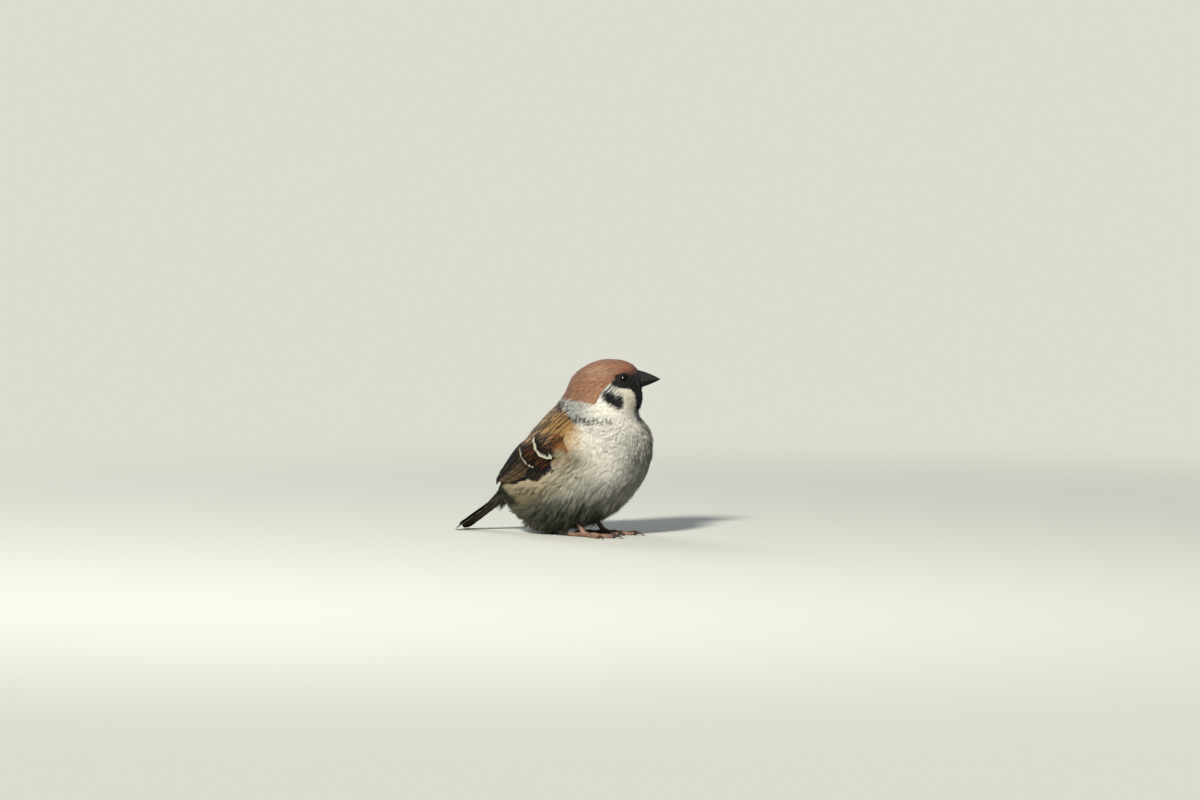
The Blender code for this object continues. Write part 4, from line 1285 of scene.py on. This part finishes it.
def vane_form(length, outer, inner, blunt, cup, tilt):
    """One vane laid flat: distance along, share along, distance aside, share aside, and height.
    The outer web is on the positive side; blunt is the length of the rounded tip."""
    t = VANE_SHARES[:, None]
    swell = 0.35 + 0.65 * np.clip(t / 0.3, 0, 1) ** 0.8
    end = np.clip((1 - t) * length / blunt, 0, 1)
    taper = np.sqrt(np.clip(1 - (1 - end) ** 2.2, 0, 1))
    ragged = 1 + 0.012 * rng.normal(0, 1, (VANE_ROWS, 1)) * (np.abs(VANE_COLUMNS) > 0.9)
    y = np.where(VANE_COLUMNS > 0, outer, inner) * VANE_COLUMNS * swell * taper * ragged
    x = t * length - 0.10 * np.abs(y)
    split = sum(bell(t, nick, 0.012) for nick in rng.uniform(0.35, 0.85, 2))
    y = y * (1 - 0.10 * split * (np.abs(VANE_COLUMNS) > 0.8))
    shaft = 0.10 * bell(y, 0, 0.22) * (1 - 0.6 * t)
    height = tilt * VANE_COLUMNS - cup * VANE_COLUMNS**2 + shaft + 0.02 * np.sin(x * 9 - np.abs(y) * 9)
    return x, t, y, height


def barb_lines(x, y):
    """Places for the grain of one vane's barbs, which slant away from the shaft."""
    seed = rng.uniform(0, 40)
    return np.stack([x - 0.9 * np.abs(y), y * 0.12 + seed, 0 * x + seed], -1)


def join_vanes(name, vanes, flip, material, replaced):
    """One piece from many vanes: each has its points, colours and places for the grain of its barbs.
    Each vane has a strip of the map to itself."""
    points, colours, lines = (np.concatenate([v[k].reshape(-1, 3) for v in vanes]) for k in range(3))
    wide = math.ceil(math.sqrt(len(vanes) * 2))
    tall = math.ceil(len(vanes) / wide)
    u, v = np.meshgrid((VANE_COLUMNS + 1) / 2, np.linspace(0, 1, VANE_ROWS))
    u, v = 0.04 + 0.92 * u, 0.02 + 0.96 * v
    maps = [np.stack([(k % wide + u) / wide, (k // wide + v) / tall], -1) for k in range(len(vanes))]
    one = grid_faces(VANE_ROWS, len(VANE_COLUMNS), False, flip)
    starts = np.arange(len(vanes))[:, None, None] * VANE_ROWS * len(VANE_COLUMNS)
    faces = (one[None] + starts).reshape(-1, 4)
    attributes = {"plumage": colours, "barb_place": lines}
    piece = add_mesh(name, points, [faces], np.concatenate(maps).reshape(-1, 2), attributes)
    piece.data.materials.append(material)
    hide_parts(replaced)
    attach(piece, "root")
    print(name, len(vanes), "vanes", len(faces) * 2, "triangles")


def body_vane(hand, root_at, tip_at, heights, webs, blunt, paint, bend=0.0, cup=0.12, tilt=0.22):
    """A vane on the body's side from root to tip, given as station and degrees off the back. heights
    are those of root and tip over the plumage's outline, and webs the widths of outer and inner web."""
    t = VANE_SHARES
    station = root_at[0] + (tip_at[0] - root_at[0]) * t
    angle = hand * np.radians(root_at[1] + (tip_at[1] - root_at[1]) * t + bend * 4 * t * (1 - t))
    line = on_body(station, angle, np.zeros(len(t)))
    length = np.linalg.norm(np.diff(line, axis=0), axis=1).sum()
    x, share, y, height = vane_form(length, webs[0], webs[1], blunt, cup, tilt)
    lift = heights[0] + (heights[1] - heights[0]) * share**0.8
    e1, e2, normal = directions(station, angle)
    forward = unit(np.gradient(line, axis=0))
    across = hand * unit(np.cross(forward, normal))
    back = x - share * length  # the barbs' slant
    move = across[:, None] * y[..., None] + forward[:, None] * back[..., None]
    at_s, at_a = slide(station[:, None], angle[:, None], e1[:, None], e2[:, None], move)
    points = on_body(at_s, at_a, lift + height)
    shade = paint(VANE_COLUMNS + 0 * y, x, length) * (1 + rng.normal(0, 0.05))
    return points, shade, barb_lines(x, y)


def white_tipped(tip_length, side_colour, side_from, white_from=-2.0):
    """Black with a white end; the outer web's edge has a colour of its own."""
    waver, phase = rng.uniform(0.05, 0.20), rng.uniform(0, 6)

    def paint(q, x, length):
        edge = side_from + waver * np.sin(x * 0.9 + phase)
        web = step(q, edge, 0.10) * step(length - x, tip_length + 1.3, 0.7)
        shade = tint(painted(q, QUILL_BLACK), side_colour, web)
        ends = tip_length * (1 + 0.12 * np.sin(9 * q + length * 40)) * (tip_length > 0)
        white = (1 - step(length - x + 0.15 * np.abs(q), ends, 0.25)) * step(q, white_from, 0.2)
        return tint(shade, BAR_WHITE, white)

    return paint


def fringed(centre, edge, outer_from, inner_from, tip=0.0):
    """A dark vane with a fringe: wide on the outer web, narrow on the inner one."""

    def paint(q, x, length):
        shade = tint(painted(q, centre), np.array(centre) * 1.8, bell(q, 0, 0.10))
        share = np.maximum(step(q, outer_from, 0.07), step(-q, inner_from, 0.06))
        share = np.maximum(share, (1 - step(length - x, tip, 0.3)) * (tip > 0))
        return tint(shade, edge, share * (0.75 + 0.25 * np.sin(x * 1.3)))

    return paint


NO_FRINGE = 2.0  # a share of the web that none of it reaches
PRIMARY_EDGE = (0.040, 0.032, 0.020)
SECONDARY_CENTRE, SECONDARY_EDGE = (0.010, 0.007, 0.004), (0.135, 0.090, 0.048)
TERTIAL_EDGE = (0.170, 0.116, 0.062)
TERTIAL_TIPS, TERTIAL_HEIGHTS = ((14.05, 28), (13.2, 22), (12.35, 20)), (3.0, 2.9, 2.5)
COVERT_CENTRE = (0.0065, 0.006, 0.0055)
COVERT_EDGE, ALULA_EDGE = (0.035, 0.026, 0.018), (0.035, 0.028, 0.02)


def flight_feathers(hand):
    """Eight primaries, nine secondaries and three tertials, each one over the last."""
    vanes = []
    for k in np.arange(8) / 7:
        root_at, tip_at = (9.9 + 0.25 * k, 94 - 9 * k), (15.7 - 1.9 * k, 45 + 5 * k)
        heights = (-0.1 + 0.3 * k, 0.5 + 0.8 * k)
        paint = fringed(QUILL_BLACK, PRIMARY_EDGE, 0.90, NO_FRINGE)
        vanes.append(body_vane(hand, root_at, tip_at, heights, (1.5, 3.0), 4.0, paint, bend=-2.0))
    for k in np.arange(9) / 8:
        pale = rng.uniform(0.7, 1.3) * np.array(SECONDARY_EDGE)
        root_at, tip_at = (10.0 + 0.1 * k, 80 - 22 * k), (12.1 + 1.4 * k, 58.5 - 21.5 * k)
        heights = (0.3 + 0.5 * k, 1.2 + 1.2 * k)
        paint = fringed(SECONDARY_CENTRE, pale, rng.uniform(0.74, 0.90), NO_FRINGE, tip=0.12)
        vanes.append(body_vane(hand, root_at, tip_at, heights, (2.0, 3.2), 2.4, paint, -1.0, 0.04, 0.24))
    for i, tip_at in enumerate(TERTIAL_TIPS):
        root_at, heights = (10.1 - 0.1 * i, 48 - 6 * i), (0.9 + 0.15 * i, TERTIAL_HEIGHTS[i])
        paint = fringed(QUILL_BLACK, TERTIAL_EDGE, 0.86, 0.90, tip=0.45)
        vanes.append(body_vane(hand, root_at, tip_at, heights, (4.0, 4.0), 4.2, paint, -1.5, 0.40))
    return vanes


def edge_coverts(hand):
    """The small stiff coverts over the primaries' roots and the three feathers of the alula."""
    vanes = []
    for k in np.arange(6) / 5:
        root_at, tip_at = (9.3 + 0.1 * k, 95 - 11 * k), (10.95 + 0.1 * k, 85 - 11 * k)
        heights = (-0.4 + 0.4 * k, 1.3 + 0.2 * k)
        paint = fringed(COVERT_CENTRE, COVERT_EDGE, 0.7, NO_FRINGE)
        vanes.append(body_vane(hand, root_at, tip_at, heights, (1.5, 1.9), 2.0, paint))
    for i in range(3):
        root_at, tip_at = (9.0 + 0.1 * i, 95 - 4 * i), (10.15 + 0.18 * i, 92 - 5 * i)
        paint = fringed(COVERT_CENTRE, ALULA_EDGE, 0.8, NO_FRINGE)
        vanes.append(body_vane(hand, root_at, tip_at, (-0.4, 1.6 + 0.1 * i), (1.5, 1.7), 1.8, paint))
    return vanes


RUST = (0.062, 0.021, 0.007)
LOWER_BAR_AT = [42, 44, 50, 56, 63, 68, 74, 85]  # degrees off the back
LOWER_BAR = [10.12, 10.2, 10.3, 10.43, 10.45, 10.43, 10.38, 10.2]
LOWER_BAR_END = 77  # degrees off the back, where the lower bar's white ends in front


def greater_coverts(hand):
    """Black with a rusty edge to the outer web, all but the lowest with a thin white tip."""
    vanes = []
    for k in np.arange(11) / 10:
        off = 81 - 34 * k + rng.normal(0, 0.4)
        tip_s = float(curve(off - 2, LOWER_BAR_AT, LOWER_BAR)) + rng.normal(0, 0.03)
        white = rng.uniform(0.5, 0.95) if off < LOWER_BAR_END else 0.0
        rust = np.array(RUST) * rng.uniform(0.7, 1.5) * (0.7 + 1.1 * k**2)
        paint = white_tipped(white, rust, rng.uniform(0.66, 0.90), rng.uniform(-0.3, 0.3))
        root_at, tip_at, heights = (8.9, off + 2), (tip_s, off - 2), (0.1, 1.55 + 0.4 * k)
        vanes.append(body_vane(hand, root_at, tip_at, heights, (2.3, 2.8), 0.8, paint, 0.0, 0.08, 0.36))
    return vanes


UPPER_BAR_AT = [50, 52, 61, 68, 75, 80, 85, 88]  # degrees off the back
UPPER_BAR = [9.05, 9.11, 9.37, 9.53, 9.54, 9.46, 9.30, 9.1]
UPPER_WHITE_AT, UPPER_WHITE = [52, 61, 68, 75, 80, 86], [0.9, 1.2, 1.5, 1.7, 1.6, 1.0]
MEDIAN_EDGE = (0.03, 0.018, 0.01)


def median_coverts(hand):
    """Black with a broad white tip. Together the tips make the upper wing bar, one even arc."""
    vanes = []
    for k in np.arange(12) / 11:
        off = 85 - 29 * k + rng.normal(0, 0.25)
        white = float(curve(off - 2, UPPER_WHITE_AT, UPPER_WHITE)) * rng.uniform(0.85, 1.15)
        tip_s = float(curve(off - 2, UPPER_BAR_AT, UPPER_BAR)) + rng.normal(0, 0.026)
        paint = white_tipped(white, MEDIAN_EDGE, 0.7)
        root_at, tip_at, heights = (8.2, off + 2), (tip_s, off - 2), (-0.9, 1.5 + 0.2 * k)
        webs = (1.5 + 0.9 * min(1, 4 * k), 2.8)
        vanes.append(body_vane(hand, root_at, tip_at, heights, webs, 0.5, paint, 0.0, 0.06, 0.34))
    return vanes


vane_material = grained_material(
    "vane_barbs", "barb_place", streaks=5.5, mottle=0.6, contrast=0.30, bump=0.5
)
feathery(vane_material, sheen=0.0, specular=0.06)

for hand, word in SIDES:
    vanes = flight_feathers(hand) + edge_coverts(hand) + greater_coverts(hand) + median_coverts(hand)
    join_vanes("wing_" + word + "_vanes", vanes, hand < 0, vane_material, "wing_" + word)

BEND_CHESTNUT = (0.195, 0.080, 0.024)
BEND_LIGHT = (0.300, 0.165, 0.066)
BEND_CREAM = (0.560, 0.460, 0.290)
BEND_LINE = (0.018, 0.008, 0.004)
BEND_BLACK = (0.012, 0.009, 0.006)
BEND_BLACK_AT, BEND_BLACK_FROM = [60, 75, 85, 92], [8.80, 8.93, 8.86, 8.70]


def chestnut_covert(shade, t, q, station, angle):
    """Chestnut, creamy towards the breast, with a dark line above and black along the wing bar."""
    place, off = station[:, None] + 0.75 * t, degrees_off(angle)[:, None] - 2.0 * t
    front = (8.18 - place) * 16 + 0.8 * np.clip(off - 85, -6, 20)  # grows towards the breast
    patch = tint(painted(t, BEND_CHESTNUT), BEND_LIGHT, step(front, 1.0, 5.0))
    patch = tint(patch, BEND_CREAM, step(front, 8.0, 5.0))
    patch = tint(patch, BEND_LINE, bell(off, 76.0, 2.6) * step(place, 7.7, 0.3) * 0.9)
    black = step(place, curve(off, BEND_BLACK_AT, BEND_BLACK_FROM), 0.10) * (1 - step(off, 87, 3))
    patch = tint(patch, BEND_BLACK, black * 0.95)
    patch = tint(patch, BUFF, step(place, 8.66, 0.14) * step(off, 83, 3))
    return patch * (0.75 + 0.3 * np.clip(t, 0, 1) + 0.22 * np.sin(7 * q + 9 * station[:, None]))[..., None]


# lesser coverts: rows of small soft feathers over the bend of the wing
LESSER_ROWS, LESSER_IN_ROW, LESSER_WIDTH = 8, 22, 2.7
LESSER_END_AT, LESSER_END = [60, 76, 85, 92, 99], [9.2, 9.30, 9.12, 9.05, 9.1]  # just over the upper bar
STATION_LENGTH = 8.0  # millimetres for one station at the bend of the wing
lesser = LESSER_ROWS * LESSER_IN_ROW
s = np.repeat(np.linspace(7.35, 8.4, LESSER_ROWS), LESSER_IN_ROW) + rng.normal(0, 0.03, lesser)
off = np.tile(np.linspace(70, 99, LESSER_IN_ROW), LESSER_ROWS) + rng.normal(0, 0.6, lesser)
inside = wing_cover(s, off) > -4
s, off = s[inside], off[inside]
behind = step(s, 7.95, 0.3) * (1 - step(off, 92, 4))
size = np.clip((curve(off, LESSER_END_AT, LESSER_END) - s) * STATION_LENGTH, 3.2, 6.0)
for hand, word in SIDES:
    lay_feathers(
        "lesser_coverts_" + word,
        s,
        hand * np.radians(off),
        length=size * rng.normal(1, 0.05, len(s)),
        width=np.full(len(s), LESSER_WIDTH),
        barbs=15,
        loose=np.full(len(s), 0.45),
        rise=0.25 + 0.95 * behind + rng.normal(0, 0.05, len(s)),
        turn=-hand * 0.08 + rng.normal(0, 0.06, len(s)),
        pattern=chestnut_covert,
        material=body_material,
        cup=0.04,
        lift=0.25,
    )

# --- Tail ---------------------------------------------------------------------------------------
# Twelve long dark brown feathers, folded nearly shut and slightly notched. The middle pair lies on
# top, each of the others shows only the buff edge of its outer web; the tip rests on the ground.

TAIL_ROOT = (-40.4, 17.55)
TAIL_DROP = math.radians(34)
TAIL_LENGTH, TAIL_HIDDEN = 31.0, 3.0  # the part that shows, and the roots inside the rump
TAIL_PAIRS = 6
TAIL_BROWN, TAIL_OUTER, TAIL_EDGE = (0.052, 0.045, 0.028), (0.140, 0.122, 0.082), (0.130, 0.108, 0.066)
TAIL_CLEAR = 0.05  # over the ground

tail_back = np.array([-math.cos(TAIL_DROP), 0.0, -math.sin(TAIL_DROP)])
tail_up = np.array([-math.sin(TAIL_DROP), 0.0, math.cos(TAIL_DROP)])
tail_root = np.array([TAIL_ROOT[0] + SHIFT_X, 0.0, TAIL_ROOT[1]])
vanes = []
for pair in reversed(range(TAIL_PAIRS)):
    for hand, _ in SIDES:
        length = TAIL_LENGTH - (1 - pair / (TAIL_PAIRS - 1)) + rng.uniform(-0.3, 0.3)
        x, t, y, height = vane_form(length + TAIL_HIDDEN, 2.3, 3.2, 2.6, 0.05, 0.10)
        x = x - TAIL_HIDDEN
        middle = 0.3 + 0.44 * pair + (0.4 + 0.22 * pair) * t
        level = 0.75 - 0.28 * pair * (0.6 + 0.4 * t) + (1 - t) * 0.5 + (0.1 if hand > 0 else 0.0)
        wide = hand * (middle + y)
        slope = 0.10 if pair == 0 else 0.24
        rise = level + height - slope * y - 0.010 * wide**2 + 0.9 * t**2  # it bends a little where it rests
        points = tail_root + x[..., None] * tail_back + rise[..., None] * tail_up
        points = points + wide[..., None] * np.array([0, 1.0, 0])
        points[..., 2] = np.maximum(points[..., 2], TAIL_CLEAR)
        paint = fringed(TAIL_BROWN if pair < 4 else TAIL_OUTER, TAIL_EDGE, 0.84, 0.95)
        shade = paint(VANE_COLUMNS + 0 * y, x, length)
        lines = barb_lines(x, y)
        order = slice(None) if hand > 0 else slice(None, None, -1)
        vanes.append((points[:, order], shade[:, order], lines[:, order]))
join_vanes("tail_vanes", vanes, False, vane_material, "tail")

# --- Legs and feet ------------------------------------------------------------------------------
# Slender pinkish-brown legs in horny skin: overlapping plates down the front of shank and toes,
# fine net-like scales behind, soft pads under the joints, and three toes ahead with one behind.

FOOT_X, FOOT_SPREAD = 5.0, 9.0
BALL_RADIUS, SOLE_TRIM, SHANK_RADIUS, HEEL_RADIUS = 1.5, 0.35, 1.15, 1.5
SHANK_LENGTH, SHANK_LEAN = 17.0, math.radians(52)
SHANK_PLATE, BALL_PLATE, TOE_PLATE, SMOOTH = 1.55, 1.3, 1.0, 50.0  # length of one plate
TOES = {  # degrees from straight ahead, length, radius at root and end, joints, claw length
    "inner": (-24.0, 10.5, 1.15, 0.85, 2, 4.4),
    "middle": (2.0, 15.0, 1.25, 0.85, 3, 5.0),
    "outer": (28.0, 11.5, 1.1, 0.8, 3, 4.2),
    "hind": (186.0, 8.5, 1.3, 1.0, 1, 6.4),
}
LEG_PINK = (0.230, 0.132, 0.085)
CLAW_HORN = (0.055, 0.040, 0.032)
RING_GAP = 0.14  # between the rings of points along a limb


def limb(path, radii, plate, sides, front, shade):
    """A round limb along a path with overlapping plates on its front: points, faces, colours, map."""
    path, radii = np.asarray(path), np.asarray(radii)
    steps = np.concatenate([[0], np.cumsum(np.linalg.norm(np.diff(path, axis=0), axis=1))])
    even = np.linspace(0, steps[-1], max(8, int(steps[-1] / RING_GAP)))
    line = np.stack([np.interp(even, steps, path[:, k]) for k in range(3)], 1)
    thick = np.interp(even, steps, radii)
    forward = unit(np.gradient(line, axis=0))
    facing = unit(front - (forward @ front)[:, None] * forward)
    side = np.cross(forward, facing)
    turn = np.arange(sides) * math.tau / sides
    at_front = np.clip(np.cos(turn), 0, 1)[None] ** 0.5
    phase = (even[:, None] + 0.10 * np.cos(turn * 2)) / plate
    saw = phase - np.floor(phase)
    net = 0.03 * np.sin(even[:, None] * 9) * np.sin(turn * 8) * (1 - at_front)
    bump = 0.085 * (1 - saw) ** 0.7 * at_front - 0.09 * bell(saw, 0, 0.10) * at_front + net
    spokes = facing[:, None] * np.cos(turn)[None, :, None] + side[:, None] * np.sin(turn)[None, :, None]
    points = line[:, None] + spokes * (thick[:, None] * (0.96 + bump))[..., None]
    points[..., 2] = np.maximum(points[..., 2], 0.0)
    colours = painted(saw, shade) * (1 + 0.22 * (saw - 0.4) * at_front)[..., None]
    colours = tint(colours, np.array(shade) * 0.35, bell(saw, 0, 0.14) * at_front * 0.8)
    ends = np.stack([line[0] - forward[0] * thick[0] * 0.3, line[-1] + forward[-1] * thick[-1] * 0.35])
    ends[:, 2] = np.maximum(ends[:, 2], 0.0)
    rings, ring = len(even), np.arange(sides)
    flip = float(np.cross(facing[0], side[0]) @ forward[0]) > 0
    hub = rings * sides
    caps = [fan_faces(ring, hub, flip), fan_faces(hub - sides + ring, hub + 1, not flip)]
    faces = [grid_faces(rings, sides, True, flip), np.vstack(caps)]
    colours = np.vstack([colours.reshape(-1, 3), colours[0, :1], colours[-1, :1]])
    uv = np.stack(np.meshgrid(turn / math.tau, even / even[-1]), -1).reshape(-1, 2)
    uv = np.vstack([uv, [[0.5, 0], [0.5, 1]]])
    return np.vstack([points.reshape(-1, 3), ends]), faces, colours, uv


def join_limbs(name, limbs, material, replaced):
    """One piece from many limbs, each with a strip of the map to itself."""
    quads, caps, maps = [], [], []
    base = 0
    for k, (points, faces, _, uv) in enumerate(limbs):
        quads.append(faces[0] + base)
        caps.append(faces[1] + base)
        maps.append(np.stack([(k + 0.03 + 0.94 * uv[:, 0]) / len(limbs), 0.01 + 0.98 * uv[:, 1]], -1))
        base += len(points)
    points, colours = np.vstack([v[0] for v in limbs]), np.vstack([v[2] for v in limbs])
    faces = [np.vstack(quads), np.vstack(caps)]
    piece = add_mesh(name, points, faces, np.vstack(maps), {"plumage": colours})
    piece.data.materials.append(material)
    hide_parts(*replaced)
    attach(piece, "root")
    print(name, 2 * sum(len(q) for q in quads), "triangles")


scale_material = grained_material(
    "leg_scutes", "Object", streaks=1700.0, mottle=350.0, contrast=0.28, bump=0.5, rough=0.5
)
claw_material = grained_material(
    "claw_keratin", "Object", streaks=1500.0, mottle=300.0, contrast=0.25, bump=0.25, rough=0.35
)
for hand, word in SIDES:
    ball = np.array([FOOT_X + SHIFT_X, hand * FOOT_SPREAD, BALL_RADIUS - SOLE_TRIM])
    lean = np.array([-math.cos(SHANK_LEAN), -hand * 0.1, math.sin(SHANK_LEAN)])
    ahead = np.array([math.sin(SHANK_LEAN), 0.0, math.cos(SHANK_LEAN)])
    run = np.linspace(-0.02, 1.06, 12)
    radii = SHANK_RADIUS + (HEEL_RADIUS - SHANK_RADIUS) * np.clip(run, 0, 1) ** 3 + 0.35 * bell(run, 0, 0.1)
    shank = limb(ball + lean * SHANK_LENGTH * run[:, None], radii * 0.96, SHANK_PLATE, 22, ahead, LEG_PINK)
    joint = [ball - np.array([1.3, 0, 0.1]), ball, ball + np.array([1.6, 0, -0.1])]
    limbs = [shank, limb(joint, [1.2, BALL_RADIUS, 1.25], BALL_PLATE, 20, UPWARD, LEG_PINK)]
    claws = []
    for degrees, length, root_radius, end_radius, joints, claw in TOES.values():
        heading = hand * math.radians(degrees)
        away = np.array([math.cos(heading), math.sin(heading), 0])
        t = np.linspace(0, 1, 10 * joints + 6)
        radius = (root_radius + (end_radius - root_radius) * t) * (1 + 0.12 * np.cos(math.tau * joints * t))
        height = ball[2] + (radius - SOLE_TRIM - ball[2]) * np.minimum(1, 2.5 * t)
        path = np.array([ball[0], ball[1], 0]) + away * (length * t)[:, None] + UPWARD * height[:, None]
        limbs.append(limb(path, radius, TOE_PLATE, 18, UPWARD, tuple(v * 0.92 for v in LEG_PINK)))
        # the claw: a smooth hooked cone from the toe's end down to the ground
        t = np.linspace(0, 1, 14)
        end, tip = radius[-1], path[-1]
        line = np.array([tip[0], tip[1], 0]) + away * (end * 0.1 + (claw + 0.3 * end + 0.3) * t)[:, None]
        arch = 1.3 * np.sin(math.pi * np.minimum(t * 1.05, 1)) * (1 - 0.3 * t)
        line[:, 2] = tip[2] * (1 - t) + 0.10 * t + arch * 0.7
        claws.append(limb(line, (end * 0.78 - 0.1) * (1 - t) ** 0.75 + 0.09, SMOOTH, 14, UPWARD, CLAW_HORN))
    join_limbs("leg_and_foot_" + word, limbs, scale_material, ["leg_" + word, "foot_" + word])
    join_limbs("claws_" + word, claws, claw_material, [f"claw_{word}_{toe}" for toe in TOES])

# --- Finish -------------------------------------------------------------------------------------
# The model's outer sizes.

low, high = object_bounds()
